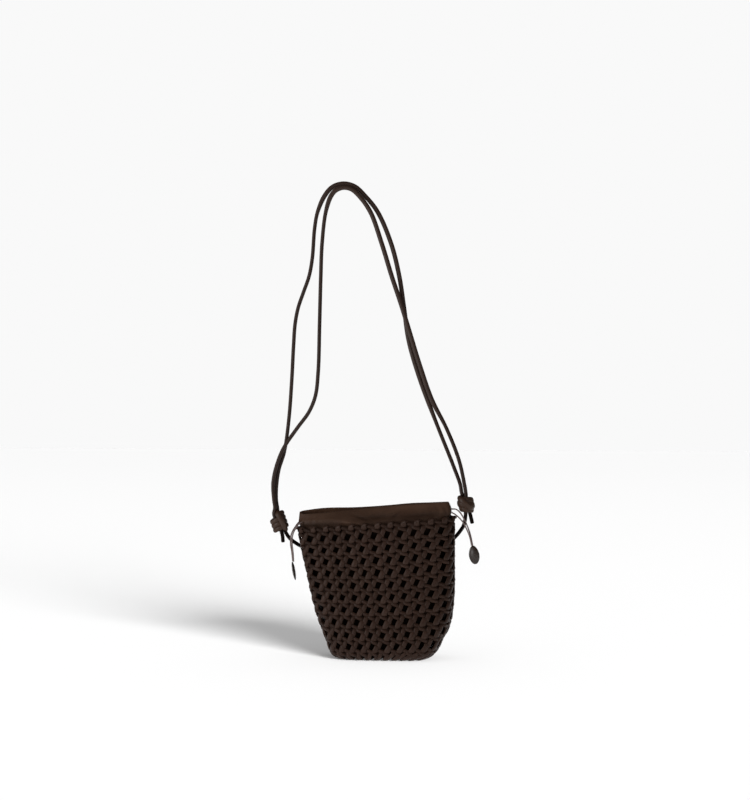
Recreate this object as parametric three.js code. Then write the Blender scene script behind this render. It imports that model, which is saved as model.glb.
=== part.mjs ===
// A crossbody phone bag: an open basket of woven leather strips, a soft leather pouch inside it,
// and a strap of two leather cords that is held up at its top bend.
// Millimetres, +Z up, the front towards -Y. The origin is the top of whatever the strap hangs on,
// and heights in the tables below are measured from the bag's base.
import * as THREE from 'three';

const HANG_HEIGHT = 515;

// The basket: its outer form at a few heights. depth is half of the front-to-back size, square is
// the exponent of the rounded outline, and rise is how much a section climbs towards the right.
const BASKET_SECTIONS = [
  { height: 0, left: -4, right: 92, depth: 31, square: 3.8, rise: 0 },
  { height: 3, left: -10, right: 98.5, depth: 35, square: 3.8, rise: 0.008 },
  { height: 8, left: -14.6, right: 104.4, depth: 38, square: 3.6, rise: 0.016 },
  { height: 18, left: -18.4, right: 109.6, depth: 39.5, square: 3.4, rise: 0.026 },
  { height: 32, left: -23.6, right: 117.4, depth: 38.5, square: 3.2, rise: 0.034 },
  { height: 50, left: -30.8, right: 121.4, depth: 35.5, square: 3, rise: 0.042 },
  { height: 75, left: -37.6, right: 123.3, depth: 32.3, square: 2.9, rise: 0.05 },
  { height: 100, left: -43, right: 123.3, depth: 29.5, square: 2.8, rise: 0.06 },
  { height: 125, left: -48.8, right: 123.5, depth: 26.3, square: 2.7, rise: 0.07 },
  { height: 151, left: -53.4, right: 123.6, depth: 23.6, square: 2.6, rise: 0.078 },
];
const BASKET_TOP = 151;
const BASKET_RIM_ROUND = 2;
const BASKET_WALL = 6;
const BASKET_FOOT = [18, 8, 3, 0];
const BASKET_INNER_FOOT = 16;
const BASKET_FLOOR_INSET = 9;

// The gaps of the weave: columns round the basket, and rows down it. Every second gap is open.
const GAP_COLUMNS = 26;
const GAP_ROWS = 9;
const GAP_TOP_ROW_HEIGHT = 136;
const GAP_ROW_PITCH = 13.35;
const GAP_TALL = 7.4;
const GAP_SHARE = 0.41;

// The pouch: its outer form, from its bottom to its mouth.
const POUCH_SECTIONS = [
  { height: 9.5, left: 4, right: 86, depth: 22, square: 3.2, rise: 0 },
  { height: 14, left: -4, right: 94, depth: 27, square: 3.2, rise: 0.01 },
  { height: 32, left: -12.5, right: 106, depth: 27.5, square: 3, rise: 0.034 },
  { height: 75, left: -27, right: 112.5, depth: 21.5, square: 2.8, rise: 0.05 },
  { height: 125, left: -38.3, right: 113, depth: 16, square: 2.6, rise: 0.07 },
  { height: 144, left: -44.6, right: 115, depth: 16.2, square: 2.5, rise: 0.076 },
  { height: 149.4, left: -46, right: 116.6, depth: 16.8, square: 2.4, rise: 0.078 },
  { height: 152, left: -49.6, right: 118.5, depth: 17.4, square: 2.4, rise: 0.078 },
  { height: 155, left: -50.6, right: 119, depth: 16.6, square: 2.4, rise: 0.077 },
  { height: 160, left: -50.2, right: 118.4, depth: 14.2, square: 2.3, rise: 0.076 },
  { height: 166, left: -49.6, right: 115.8, depth: 10.6, square: 2.2, rise: 0.075 },
];
const POUCH_WALL = 1.8;
const POUCH_SIDES = 40;
const POUCH_BOTTOM = 9.5;
const POUCH_TOP = 166;
const POUCH_RINGS = [POUCH_TOP, 163, 160, 157.5, 155, 152, 149.4, 144, 125, 75, 32, 14];

// Soft dents (deep above 0) and swells in the pouch's panels: across is from the middle of the
// panel, and wide and tall are the half sizes of the fold.
const POUCH_FOLDS = [
  { panel: 'front', across: 12, height: 156, wide: 28, tall: 6, deep: 2.4 },
  { panel: 'front', across: -24, height: 155, wide: 22, tall: 5, deep: -0.8 },
  { panel: 'front', across: 52, height: 158, wide: 18, tall: 8, deep: 1.2 },
  { panel: 'back', across: -30, height: 157, wide: 26, tall: 7, deep: 1.8 },
  { panel: 'back', across: 22, height: 158, wide: 24, tall: 7, deep: 2.2 },
];
const POUCH_RIM_WAVES = [
  { panel: 'front', across: -66, wide: 62, lift: -2.6 },
  { panel: 'back', across: -56, wide: 36, lift: 2 },
  { panel: 'back', across: 40, wide: 30, lift: 0.8 },
];
const RIM_WAVE_FROM = 154.5;

// The strap's two cords, each from a gap in the basket's side, up through the knot on that side,
// over the top bend and down to the other knot, where it ends in a short tail.
const STRAP_DIAMETER = 4;
const STRAP_SIDES = 8;
const STRAP_STEPS_PER_POINT = 2;
const STRAP_LEFT_ROUTE = [
  [-34, 16.35, -397.4], [-36.6, 17.6, -397.5], [-40.4, 19.6, -397.3], [-50.6, 16, -394.4],
  [-57.2, 9, -389.4], [-61.6, 3.6, -384.6], [-65, 0, -378.4], [-70.7, 0, -366.2],
  [-73.7, 0.5, -357.6], [-74.9, 2.05, -350.6], [-76.2, 2.2, -342], [-75.7, 2.2, -325],
  [-73.1, 2.2, -308.5], [-67.1, 2.2, -289.3], [-62, 2.2, -253.8], [-58.6, 2.2, -209],
  [-56.6, 2.2, -171], [-54.9, 2.2, -147.8], [-51.5, 2.2, -130.1], [-45.4, 2.2, -112.5],
  [-39.2, 2.2, -94.9], [-35.6, 2.2, -75], [-33, 2.2, -42.1], [-29.7, 2.2, -24.5],
  [-22, 2.2, -6.9], [-13.2, 2.2, 3], [-1.1, 2.2, 6.6], [11.6, 2.2, 3.4],
  [23.3, 2.2, -7.4], [37.1, 2.2, -25], [52.1, 2.2, -60.2], [60.9, 2.2, -95.4],
  [66.2, 2.2, -130.5], [71, 2.2, -165.6], [81.3, 2.2, -202.9], [100.4, 2.2, -253.3],
  [121.6, 2.2, -305.9], [128.3, 1.4, -324], [130.2, 0.6, -333.9], [133, 2.2, -339.6],
  [134.65, 2.8, -344.8], [136.9, 2.2, -350.2], [139.2, 0.4, -356], [141.6, 0, -366],
];
const STRAP_RIGHT_ROUTE = [
  [109.4, 16.35, -387.4], [111.9, 17.6, -387.3], [115.6, 19.5, -386.9], [118.8, 19.6, -385.2],
  [122.8, 16.4, -381.4], [127.6, 10, -375.6], [132.2, 3.6, -368.2], [134.4, -0.4, -357.4],
  [134.4, -2.2, -350.2], [134.65, -2.8, -344.8], [135, -2.2, -339.6], [134.6, -0.6, -333.1],
  [133.2, -1.2, -324], [127.2, -2.2, -297.1], [113.3, -2.2, -262], [97.9, -2.2, -231.4],
  [84.1, -2.2, -191.9], [73, -2.2, -156.8], [63.7, -2.2, -127.2], [53, -2.2, -95.3],
  [42.2, -2.2, -60.2], [28.9, -2.2, -25], [15.5, -2.2, -8.4], [7.8, -2.2, -0.4],
  [0, -2.2, 2], [-8.6, -2.2, -0.6], [-14.9, -2.2, -7], [-20.8, -2.2, -24.5],
  [-25, -2.2, -59.7], [-26.5, -2.2, -94.9], [-27.9, -2.2, -147.8], [-29.4, -2.2, -200.8],
  [-32.6, -2.2, -227.2], [-39.8, -2.2, -244.9], [-51.8, -2.2, -262.6], [-67.6, -2.4, -285.9],
  [-76.2, -2.2, -308.5], [-79, -2.2, -325], [-78, -2.2, -342], [-76.9, -2.05, -351],
  [-78.3, -0.5, -358], [-74.7, 0, -367.7], [-69.2, 0, -379.9], [-68.2, 0, -388.6],
];

// The knots: turns of the same cord wrapped round both cords, slanted across the knot's axis.
const KNOT_SIDES = 6;
const KNOT_STEPS_PER_TURN = 12;
const KNOTS = [
  {
    name: 'strap_knot_left', top: [-77.4, -354.3], bottom: [-68.2, -379.3],
    across: 7.3, deep: 5.1, turns: 3.2, pitch: 4.8, slant: 0.25,
  },
  {
    name: 'strap_knot_right', top: [132.3, -333.5], bottom: [137, -356],
    across: 7.4, deep: 7.2, turns: 2.8, pitch: 4.8, slant: 0.35,
  },
];

// The drawstrings: two thin cords out of each end of the pouch, and the oval tab that they end in.
const STRING_DIAMETER = 1.5;
const STRING_SIDES = 6;
const STRING_STEPS = 12;
const STRINGS = [
  {
    name: 'drawstring_right_front',
    route: [
      [119.2, -2.4, -350.6], [124.4, -4.6, -350.9], [129.5, -8, -354.8], [133.6, -9.4, -361.5],
      [137.4, -8.6, -369.8], [140.2, -6.6, -378.7], [141.7, -4.6, -386.3], [142.4, -3.5, -390.3],
    ],
  },
  {
    name: 'drawstring_right_back',
    route: [
      [119.6, -4.4, -354.4], [122.8, -7, -355.8], [127.7, -9.6, -359.4], [132, -11.2, -363.8],
      [135.5, -10.6, -371.2], [138.5, -8.4, -379.2], [140, -6, -386.3], [140.6, -4.4, -390.3],
    ],
  },
  {
    name: 'drawstring_left_front',
    route: [
      [-48.9, -6.2, -365.8], [-51, -8.6, -368.2], [-53.6, -9.6, -372.2], [-56.6, -10, -377.4],
      [-58, -10.4, -383.6], [-57.9, -10.4, -391.4], [-56.8, -9.8, -398.8], [-56.2, -9.4, -405],
      [-55.9, -9.2, -409.1],
    ],
  },
  {
    name: 'drawstring_left_back',
    route: [
      [-45.6, -9.6, -366], [-49, -11.6, -368.2], [-51.8, -12.2, -372.4], [-54.7, -12.2, -377.8],
      [-56, -12.4, -384], [-56, -12.4, -391.4], [-55.2, -11.8, -398.8], [-54.8, -11.4, -405],
      [-54.6, -11.2, -409.4],
    ],
  },
];
const TAB = { across: 11.6, tall: 20.6, thick: 3.4, sides: 14, rings: 8 };
const TABS = [
  { name: 'tab_right', middle: [144, -3, -400.7], lean: 9, turn: 3 },
  { name: 'tab_left', middle: [-54.6, -9.6, -419.8], lean: 10, turn: 86 },
];

const LEATHER_WEAVE = { color: 0x382c27, roughness: 0.55, metalness: 0 };
const LEATHER_POUCH = { color: 0x3f2e26, roughness: 0.6, metalness: 0 };
const LEATHER_CORD = { color: 0x352f2b, roughness: 0.5, metalness: 0 };
const STRING_CORD = { color: 0x6a5751, roughness: 0.65, metalness: 0 };
const LEATHER_TAB = { color: 0x3c3834, roughness: 0.45, metalness: 0 };

function named(name, geometry, finish) {
  const mesh = new THREE.Mesh(geometry, new THREE.MeshStandardMaterial(finish));
  mesh.name = name;
  return mesh;
}

// A table's row at any height, on a smooth curve through its rows.
function sectionAt(table, height) {
  const last = table.length - 1;
  const above = table.findIndex((row) => row.height >= height);
  const j = Math.min(last, Math.max(1, above < 0 ? last : above));
  const i = j - 1;
  const [a, b] = [table[i], table[j]];
  const [before, after] = [table[Math.max(0, i - 1)], table[Math.min(last, j + 1)]];
  const span = b.height - a.height;
  const t = (height - a.height) / span;
  const row = {};
  for (const key of Object.keys(a)) {
    const leave = ((b[key] - before[key]) / (b.height - before.height)) * span;
    const arrive = ((after[key] - a[key]) / (after.height - a.height)) * span;
    row[key] =
      (2 * t ** 3 - 3 * t ** 2 + 1) * a[key] +
      (t ** 3 - 2 * t ** 2 + t) * leave +
      (3 * t ** 2 - 2 * t ** 3) * b[key] +
      (t ** 3 - t ** 2) * arrive;
  }
  return { ...row, height };
}

function inset(section, by) {
  const { left, right, depth } = section;
  return { ...section, left: left + by, right: right - by, depth: depth - by };
}

// Points at even distances or given shares of the way round a section, from the middle of the
// front towards the right.
function ringOf(section, shares) {
  const DENSE = 720;
  const halfWidth = (section.right - section.left) / 2;
  const middle = (section.right + section.left) / 2;
  const power = 2 / section.square;
  const dense = [];
  for (let k = 0; k <= DENSE; k++) {
    const angle = (k / DENSE) * 2 * Math.PI - Math.PI / 2;
    const x = Math.sign(Math.cos(angle)) * Math.abs(Math.cos(angle)) ** power * halfWidth;
    const y = Math.sign(Math.sin(angle)) * Math.abs(Math.sin(angle)) ** power * section.depth;
    dense.push(new THREE.Vector2(x, y));
  }
  const along = [0];
  for (let k = 1; k <= DENSE; k++) along.push(along[k - 1] + dense[k].distanceTo(dense[k - 1]));
  return shares.map((share) => {
    const wanted = (((share % 1) + 1) % 1) * along[DENSE];
    const k = Math.max(1, along.findIndex((length) => length >= wanted));
    const part = (wanted - along[k - 1]) / (along[k] - along[k - 1]);
    const spot = dense[k - 1].clone().lerp(dense[k], part);
    return new THREE.Vector3(middle + spot.x, spot.y, section.height + section.rise * spot.x);
  });
}

// A closed geometry from its corners and faces of three or four corners each.
function faceted(corners, faces) {
  const geometry = new THREE.BufferGeometry().setFromPoints(corners);
  geometry.setIndex(faces.flatMap(([a, b, c, d]) => (d === undefined ? [a, b, c] : [a, b, c, a, c, d])));
  geometry.computeVertexNormals();
  return geometry;
}

// A vessel with a wall: rings down its outside, rings up its inside, and a flat bottom to each.
// isOpen says which panels between rings are cut right through the wall.
function vessel(outerRings, innerRings, isOpen) {
  const sides = outerRings[0].length;
  const corners = [...outerRings.flat(), ...innerRings.flat()];
  const faces = [];
  const outer = (ring, side) => ring * sides + (side % sides);
  const inner = (ring, side) => (outerRings.length + ring) * sides + (side % sides);
  const panel = (at, ring, side) => [
    at(ring, side), at(ring, side + 1), at(ring + 1, side + 1), at(ring + 1, side),
  ];
  for (let side = 0; side < sides; side++) {
    faces.push([outer(0, side), outer(0, side + 1), inner(0, side + 1), inner(0, side)]);
    for (let ring = 0; ring + 1 < outerRings.length; ring++) {
      if (!isOpen(ring, side)) faces.push(panel(outer, ring, side).reverse());
    }
    for (let ring = 0; ring + 1 < innerRings.length; ring++) {
      if (!isOpen(ring, side)) {
        faces.push(panel(inner, ring, side));
        continue;
      }
      const [front, back] = [panel(outer, ring, side), panel(inner, ring, side)];
      front.forEach((corner, k) => {
        const next = (k + 1) % front.length;
        faces.push([corner, back[k], back[next], front[next]]);
      });
    }
  }
  for (const [rings, at, turned] of [[outerRings, outer, false], [innerRings, inner, true]]) {
    const last = rings.length - 1;
    const centre = rings[last].reduce((sum, p) => sum.add(p), new THREE.Vector3()).divideScalar(sides);
    const hub = corners.push(centre) - 1;
    for (let side = 0; side < sides; side++) {
      const [a, b] = [at(last, side), at(last, side + 1)];
      faces.push(turned ? [hub, a, b] : [hub, b, a]);
    }
  }
  return faceted(corners, faces);
}

function wovenBasket() {
  const shares = [];
  for (let column = 0; column < GAP_COLUMNS; column++) {
    shares.push((column - GAP_SHARE / 2) / GAP_COLUMNS, (column + GAP_SHARE / 2) / GAP_COLUMNS);
  }
  const heights = [BASKET_TOP - BASKET_RIM_ROUND];
  for (let row = 0; row < GAP_ROWS; row++) {
    const middle = GAP_TOP_ROW_HEIGHT - row * GAP_ROW_PITCH;
    heights.push(middle + GAP_TALL / 2, middle - GAP_TALL / 2);
  }
  const ring = (height, by) => ringOf(inset(sectionAt(BASKET_SECTIONS, height), by), shares);
  const foot = sectionAt(BASKET_SECTIONS, BASKET_INNER_FOOT);
  const floor = { ...inset(foot, BASKET_FLOOR_INSET), height: BASKET_WALL, rise: 0 };
  const outerRings = [
    ring(BASKET_TOP, BASKET_RIM_ROUND),
    ...[...heights, ...BASKET_FOOT].map((height) => ring(height, 0)),
  ];
  const innerRings = [
    ring(BASKET_TOP, BASKET_WALL - BASKET_RIM_ROUND),
    ...[...heights, BASKET_INNER_FOOT].map((height) => ring(height, BASKET_WALL)),
    ringOf(floor, shares),
  ];
  // Below the two rings of the rim, even rings are the upper edges of gaps, and even sides their
  // left edges.
  const isOpen = (ringIndex, side) => {
    const [row, column] = [ringIndex / 2 - 1, side / 2];
    const isGap = row >= 0 && row < GAP_ROWS && row % 1 === 0 && column % 1 === 0;
    return isGap && (row + column) % 2 === 1;
  };
  return named('woven_body', vessel(outerRings, innerRings, isOpen), LEATHER_WEAVE);
}

function bump(offset, half) {
  return Math.exp(-2 * (offset / half) ** 2);
}

// Presses the folds into a ring of the pouch, and waves its rim.
function folded(ring, section) {
  const middle = (section.left + section.right) / 2;
  return ring.map((point) => {
    const across = point.x - middle;
    const panel = point.y < 0 ? 'front' : 'back';
    const towardsPanel = Math.min(1, Math.abs(point.y) / (section.depth / 3));
    let [dent, lift] = [0, 0];
    for (const fold of POUCH_FOLDS.filter((row) => row.panel === panel)) {
      const up = section.height - fold.height;
      dent += fold.deep * bump(across - fold.across, fold.wide) * bump(up, fold.tall);
    }
    const nearRim = Math.max(0, (section.height - RIM_WAVE_FROM) / (POUCH_TOP - RIM_WAVE_FROM));
    for (const wave of POUCH_RIM_WAVES.filter((row) => row.panel === panel)) {
      lift += wave.lift * bump(across - wave.across, wave.wide) * nearRim;
    }
    const inwards = -Math.sign(point.y) * dent * towardsPanel;
    return new THREE.Vector3(point.x, point.y + inwards, point.z + lift * towardsPanel);
  });
}

function leatherPouch() {
  const shares = Array.from({ length: POUCH_SIDES }, (_, side) => side / POUCH_SIDES);
  const ring = (height, by) => {
    const section = sectionAt(POUCH_SECTIONS, height);
    return folded(ringOf(inset(section, by), shares), section);
  };
  const outerRings = [...POUCH_RINGS, POUCH_BOTTOM].map((height) => ring(height, 0));
  const floor = POUCH_BOTTOM + POUCH_WALL;
  const innerRings = [...POUCH_RINGS, floor].map((height) => ring(height, POUCH_WALL));
  return named('leather_pouch', vessel(outerRings, innerRings, () => false), LEATHER_POUCH);
}

// A smooth route through points whose steps follow the points, closer where they are closer.
class Route extends THREE.CatmullRomCurve3 {
  constructor(points) {
    super(points.map((point) => new THREE.Vector3(...point)));
  }
  getPointAt(t, target) {
    return this.getPoint(t, target);
  }
  getTangentAt(t, target) {
    return this.getTangent(t, target);
  }
}

// One knot's wrapping cord: a slanted oval helix round the knot's axis.
class Wrap extends THREE.Curve {
  constructor({ top, bottom, across, deep, turns, pitch, slant }) {
    super();
    const [head, foot] = [top, bottom].map(([x, z]) => new THREE.Vector3(x, 0, z));
    this.axis = head.clone().sub(foot).normalize();
    this.side = new THREE.Vector3(this.axis.z, 0, -this.axis.x);
    this.middle = head.add(foot).divideScalar(2);
    Object.assign(this, { across, deep, turns, pitch, slant });
  }
  getPoint(t, target = new THREE.Vector3()) {
    const angle = t * this.turns * 2 * Math.PI;
    const across = this.across * Math.cos(angle);
    const along = (t - 0.5) * this.turns * this.pitch + this.slant * across;
    target.copy(this.middle).addScaledVector(this.axis, along).addScaledVector(this.side, across);
    target.y -= this.deep * Math.sin(angle);
    return target;
  }
}

// A round cord along a curve, with closed ends.
function cord(curve, diameter, sides, steps) {
  const section = new THREE.Shape();
  for (let side = 0; side < sides; side++) {
    const angle = (side / sides) * 2 * Math.PI;
    const [x, y] = [Math.cos(angle) * (diameter / 2), Math.sin(angle) * (diameter / 2)];
    if (side) section.lineTo(x, y);
    else section.moveTo(x, y);
  }
  section.closePath();
  return new THREE.ExtrudeGeometry(section, { steps, bevelEnabled: false, extrudePath: curve });
}

function strapCord(name, points) {
  const steps = (points.length - 1) * STRAP_STEPS_PER_POINT;
  return named(name, cord(new Route(points), STRAP_DIAMETER, STRAP_SIDES, steps), LEATHER_CORD);
}

function strapKnot(knot) {
  const steps = Math.round(knot.turns * KNOT_STEPS_PER_TURN);
  return named(knot.name, cord(new Wrap(knot), STRAP_DIAMETER, KNOT_SIDES, steps), LEATHER_CORD);
}

function drawstring({ name, route }) {
  return named(name, cord(new Route(route), STRING_DIAMETER, STRING_SIDES, STRING_STEPS), STRING_CORD);
}

// A flat domed oval that hangs from its strings, leaning and turned a little.
function tab({ name, middle, lean, turn }) {
  const geometry = new THREE.SphereGeometry(0.5, TAB.sides, TAB.rings);
  geometry.rotateX(Math.PI / 2);
  geometry.scale(TAB.across, TAB.thick, TAB.tall);
  const mesh = named(name, geometry, LEATHER_TAB);
  mesh.rotation.set(0, THREE.MathUtils.degToRad(-lean), THREE.MathUtils.degToRad(turn), 'YZX');
  mesh.position.set(...middle);
  return mesh;
}

const bag = new THREE.Group();
bag.add(wovenBasket(), leatherPouch());
bag.position.z = -HANG_HEIGHT;

const strap = new THREE.Group();
strap.add(strapCord('strap_cord_left', STRAP_LEFT_ROUTE));
strap.add(strapCord('strap_cord_right', STRAP_RIGHT_ROUTE));
strap.add(...KNOTS.map(strapKnot));

const pulls = new THREE.Group();
pulls.add(...STRINGS.map(drawstring), ...TABS.map(tab));

const crossbodyBag = new THREE.Group();
crossbodyBag.add(bag, strap, pulls);

export default crossbodyBag;
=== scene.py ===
"""A small crossbody bag of woven leather, dressed on its CAD frame.

An open basket of paired leather strips holds a soft drawstring pouch, on a strap of two leather
cords that is held up at its top bend. Sizes are in millimetres unless a name says otherwise,
heights are measured up from the bag's base, and every mesh is written in metres, in the frame of
the CAD model.
"""

import logging
import math
from dataclasses import astuple, dataclass, field
from enum import Enum

import bpy
import numpy as np
from mathutils import Matrix, Vector

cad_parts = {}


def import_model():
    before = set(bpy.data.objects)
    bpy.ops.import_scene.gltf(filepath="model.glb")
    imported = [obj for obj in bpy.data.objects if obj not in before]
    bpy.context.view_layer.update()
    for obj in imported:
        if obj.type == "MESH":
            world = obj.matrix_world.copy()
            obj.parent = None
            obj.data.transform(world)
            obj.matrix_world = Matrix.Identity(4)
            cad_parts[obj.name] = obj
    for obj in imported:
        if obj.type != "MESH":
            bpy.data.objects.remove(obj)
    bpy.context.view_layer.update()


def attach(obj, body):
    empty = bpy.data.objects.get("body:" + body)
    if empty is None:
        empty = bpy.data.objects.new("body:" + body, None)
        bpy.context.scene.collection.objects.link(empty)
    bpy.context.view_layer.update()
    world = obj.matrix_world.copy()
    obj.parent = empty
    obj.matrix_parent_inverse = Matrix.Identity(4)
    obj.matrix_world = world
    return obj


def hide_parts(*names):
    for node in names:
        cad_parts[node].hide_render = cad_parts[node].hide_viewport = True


LOG = logging.getLogger("woven_bag")
MM = 0.001
BASE_LEVEL = -515.0
BODY = "root"
Array = np.ndarray
Colour = tuple[float, float, float]
Point = tuple[float, float, float]
Span = tuple[float, float]
Table = tuple[tuple[float, float], ...]
Input = bpy.types.NodeSocket | tuple[float, ...] | float
UNIT: Span = (0.0, 1.0)
WHITE = (1.0, 1.0, 1.0, 1.0)


class Coordinates(Enum):
    """What a finish's pattern follows."""

    OBJECT = "Object"
    ALONG = "UV"


class Slot(Enum):
    """The record's material slots."""

    WEAVE = "weave_leather"
    POUCH = "pouch_leather"
    STRAP = "strap_leather"
    STRING = "drawstring_cord"
    TAB = "tab_leather"


class FarEnd(Enum):
    """What a cord ends in."""

    KNOT = "knot"
    FITTING = "fitting"


class Lit(Enum):
    """What a lamp does with its group of pieces."""

    ONLY = "INCLUDE"
    REST = "EXCLUDE"


class Panel(Enum):
    """A side of the pouch."""

    FRONT = -1
    BACK = 1


def unit(rows: Array) -> Array:
    """Rows of vectors, each scaled to length 1."""
    return rows / np.linalg.norm(rows, axis=-1, keepdims=True)


def ease(share: Array) -> Array:
    """Goes from 0 to 1 with no slope at either end."""
    return 0.5 - 0.5 * np.cos(math.pi * np.clip(share, 0.0, 1.0))


def bump(offset: Array, half: float) -> Array:
    """A soft hump of height 1 and the given half width."""
    return np.exp(-2.0 * (offset / half) ** 2)


def boxed(wave: Array, square: float) -> Array:
    """A circle's sines or cosines, pushed out towards a box as square goes up from 2."""
    return np.sign(wave) * np.abs(wave) ** (2.0 / square)


def from_table(table: Table, at: Array | float) -> Array:
    """Values between the rows of a table of places and values."""
    places, values = zip(*table)
    return np.interp(at, places, values)


def lengths_along(path: Array) -> Array:
    """The distance from a path's start to each of its points."""
    steps = np.linalg.norm(np.diff(path, axis=0), axis=1)
    return np.concatenate([[0.0], np.cumsum(steps)])


def eased_between(
    at: Array,
    places: Array,
    values: Array,
    around: float,
    straight: float = 0.0,
    bend: float = math.inf,
) -> Array:
    """Values that ease from crossing to crossing along a closed strip.

    Args:
        at: Where along the strip the values are wanted.
        places: Where along the strip its crossings are.
        values: The value at each crossing.
        around: The strip's whole length.
        straight: How straight the way from one to the next is: 0 is a soft S, and 1 is a line.
        bend: How far the way from a low value up to the next high one reaches at most.

    Returns:
        The eased value at each place in at.
    """
    order = np.argsort(places)
    places, values = places[order], values[order]
    places = np.concatenate([[places[-1] - around], places, [places[0] + around]])
    values = np.concatenate([[values[-1]], values, [values[0]]])
    i = np.clip(np.searchsorted(places, at, side="right") - 1, 0, len(places) - 2)
    span = np.minimum(places[i + 1] - places[i], bend)
    rising = values[i + 1] > values[i]
    share = np.where(rising, (at - places[i]) / span, 1.0 - (places[i + 1] - at) / span)
    share = straight * share + (1.0 - straight) * ease(share)
    return values[i] + (values[i + 1] - values[i]) * share


def curve(t: Array | float, start: Array, leave: Array, end: Array, arrive: Array) -> Array:
    """A smooth curve from a start to an end.

    Args:
        t: How far along it the points are, from 0 to 1.
        start: Where it starts.
        leave: The way that it leaves its start.
        end: Where it ends.
        arrive: The way that it comes in there.

    Returns:
        The points.
    """
    return (
        (2 * t**3 - 3 * t**2 + 1) * start
        + (t**3 - 2 * t**2 + t) * leave
        + (3 * t**2 - 2 * t**3) * end
        + (t**3 - t**2) * arrive
    )


def smooth_route(points: tuple[Point, ...], steps: int) -> Array:
    """A smooth path through points, closer where they are closer.

    Args:
        points: The route's points, in millimetres.
        steps: How many steps there are from one point to the next.

    Returns:
        The path's points, one to a row.
    """
    p = np.array(points, float)
    p = np.vstack([2 * p[0] - p[1], p, 2 * p[-1] - p[-2]])
    gaps = np.sqrt(np.linalg.norm(np.diff(p, axis=0), axis=1))[:, None]
    before, here, after = gaps[:-2], gaps[1:-1], gaps[2:]
    leave = (p[1:-2] - p[:-3]) / before - (p[2:-1] - p[:-3]) / (before + here)
    leave = (leave + (p[2:-1] - p[1:-2]) / here) * here
    arrive = (p[2:-1] - p[1:-2]) / here - (p[3:] - p[1:-2]) / (here + after)
    arrive = (arrive + (p[3:] - p[2:-1]) / after) * here
    t = (np.arange(steps) / steps)[None, :, None]
    path = curve(t, p[1:-2, None], leave[:, None], p[2:-1, None], arrive[:, None])
    return np.vstack([path.reshape(-1, 3), p[-2]])


def ring_quads(rings: int, sides: int, closed: bool) -> Array:
    """The four-cornered faces between rings of corners.

    Args:
        rings: How many rings there are.
        sides: How many corners each has.
        closed: Whether the last ring joins the first.

    Returns:
        Each face's corners, one face to a row.
    """
    ring = np.arange(rings if closed else rings - 1)[:, None]
    side = np.arange(sides)[None, :]
    following, beside = (ring + 1) % rings, (side + 1) % sides
    corners = [(ring, side), (following, side), (following, beside), (ring, beside)]
    return np.stack([r * sides + s for r, s in corners], axis=-1).reshape(-1, 4)


def linked(name: str, data: bpy.types.ID) -> bpy.types.Object:
    """A new object in the scene, made of a mesh, a lamp or a camera."""
    obj = bpy.data.objects.new(name, data)
    bpy.context.scene.collection.objects.link(obj)
    return obj


def set_tone(obj: bpy.types.Object, tones: list[Array]) -> None:
    """Stores how light each corner of a piece is, for its finish to read."""
    tone = obj.data.attributes.new("tone", "FLOAT", "POINT")
    tone.data.foreach_set("value", np.concatenate(tones).astype(np.float32))


def dress(obj: bpy.types.Object, finish: "Finish", slot: Slot, *nodes: str) -> None:
    """Gives a piece its finish, fixes it to the body and hides the CAD nodes that it stands for.

    Args:
        obj: The finished piece.
        finish: What its surface is made of.
        slot: The record's slot for its finish; not used.
        nodes: The CAD nodes that it replaces.
    """
    obj.data.materials.clear()
    obj.data.materials.append(finish.material())
    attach(obj, BODY)
    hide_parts(*nodes)
    LOG.info("%s: %d faces", obj.name, len(obj.data.polygons))


def mesh_object(name: str, points: Array, faces: list[list[int]]) -> bpy.types.Object:
    """A smooth-shaded object made from its corners and faces.

    Args:
        name: The object's name.
        points: The corners, in millimetres.
        faces: The corners of each face, turning left as seen from outside.

    Returns:
        The new object, linked to the scene.
    """
    mesh = bpy.data.meshes.new(name)
    mesh.from_pydata((points * MM).tolist(), [], faces)
    mesh.polygons.foreach_set("use_smooth", np.ones(len(faces), bool))
    mesh.update()
    return linked(name, mesh)


class Graph:
    """The nodes of a material or of the sky, added one by one."""

    def __init__(self, owner: bpy.types.Material | bpy.types.World) -> None:
        """Starts with the nodes that the owner has."""
        owner.use_nodes = True
        self.nodes, self.links = owner.node_tree.nodes, owner.node_tree.links

    def fill(self, node: bpy.types.Node, inputs: dict[str | int, Input]) -> None:
        """Sets a node's inputs.

        Args:
            node: The node.
            inputs: A value, or another node's socket to link, for each input.
        """
        for name, value in inputs.items():
            if isinstance(value, bpy.types.NodeSocket):
                self.links.new(value, node.inputs[name])
            else:
                node.inputs[name].default_value = value

    def add(self, kind: str, inputs: dict[str | int, Input] | None = None) -> bpy.types.Node:
        """Adds a node.

        Args:
            kind: Its type.
            inputs: What its inputs are, as in fill.

        Returns:
            The new node.
        """
        node = self.nodes.new(kind)
        self.fill(node, inputs or {})
        return node

    def noise(self, place: Input, scale: float, detail: float) -> bpy.types.NodeSocket:
        """A noise pattern.

        Args:
            place: Where on the piece it is read.
            scale: Its patches to a metre.
            detail: How many finer layers it has.

        Returns:
            The socket with its value.
        """
        inputs = {"Vector": place, "Scale": scale, "Detail": detail}
        return self.add("ShaderNodeTexNoise", inputs).outputs["Fac"]

    def spread(self, value: Input, span: Span, wanted: Span) -> bpy.types.NodeSocket:
        """Maps a value from one span to another.

        Args:
            value: The socket with the value.
            span: Its own span.
            wanted: The span that it is mapped to.

        Returns:
            The socket with the mapped value.
        """
        names = ("From Min", "From Max", "To Min", "To Max")
        inputs = {"Value": value, **dict(zip(names, (*span, *wanted)))}
        return self.add("ShaderNodeMapRange", inputs).outputs["Result"]


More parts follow.
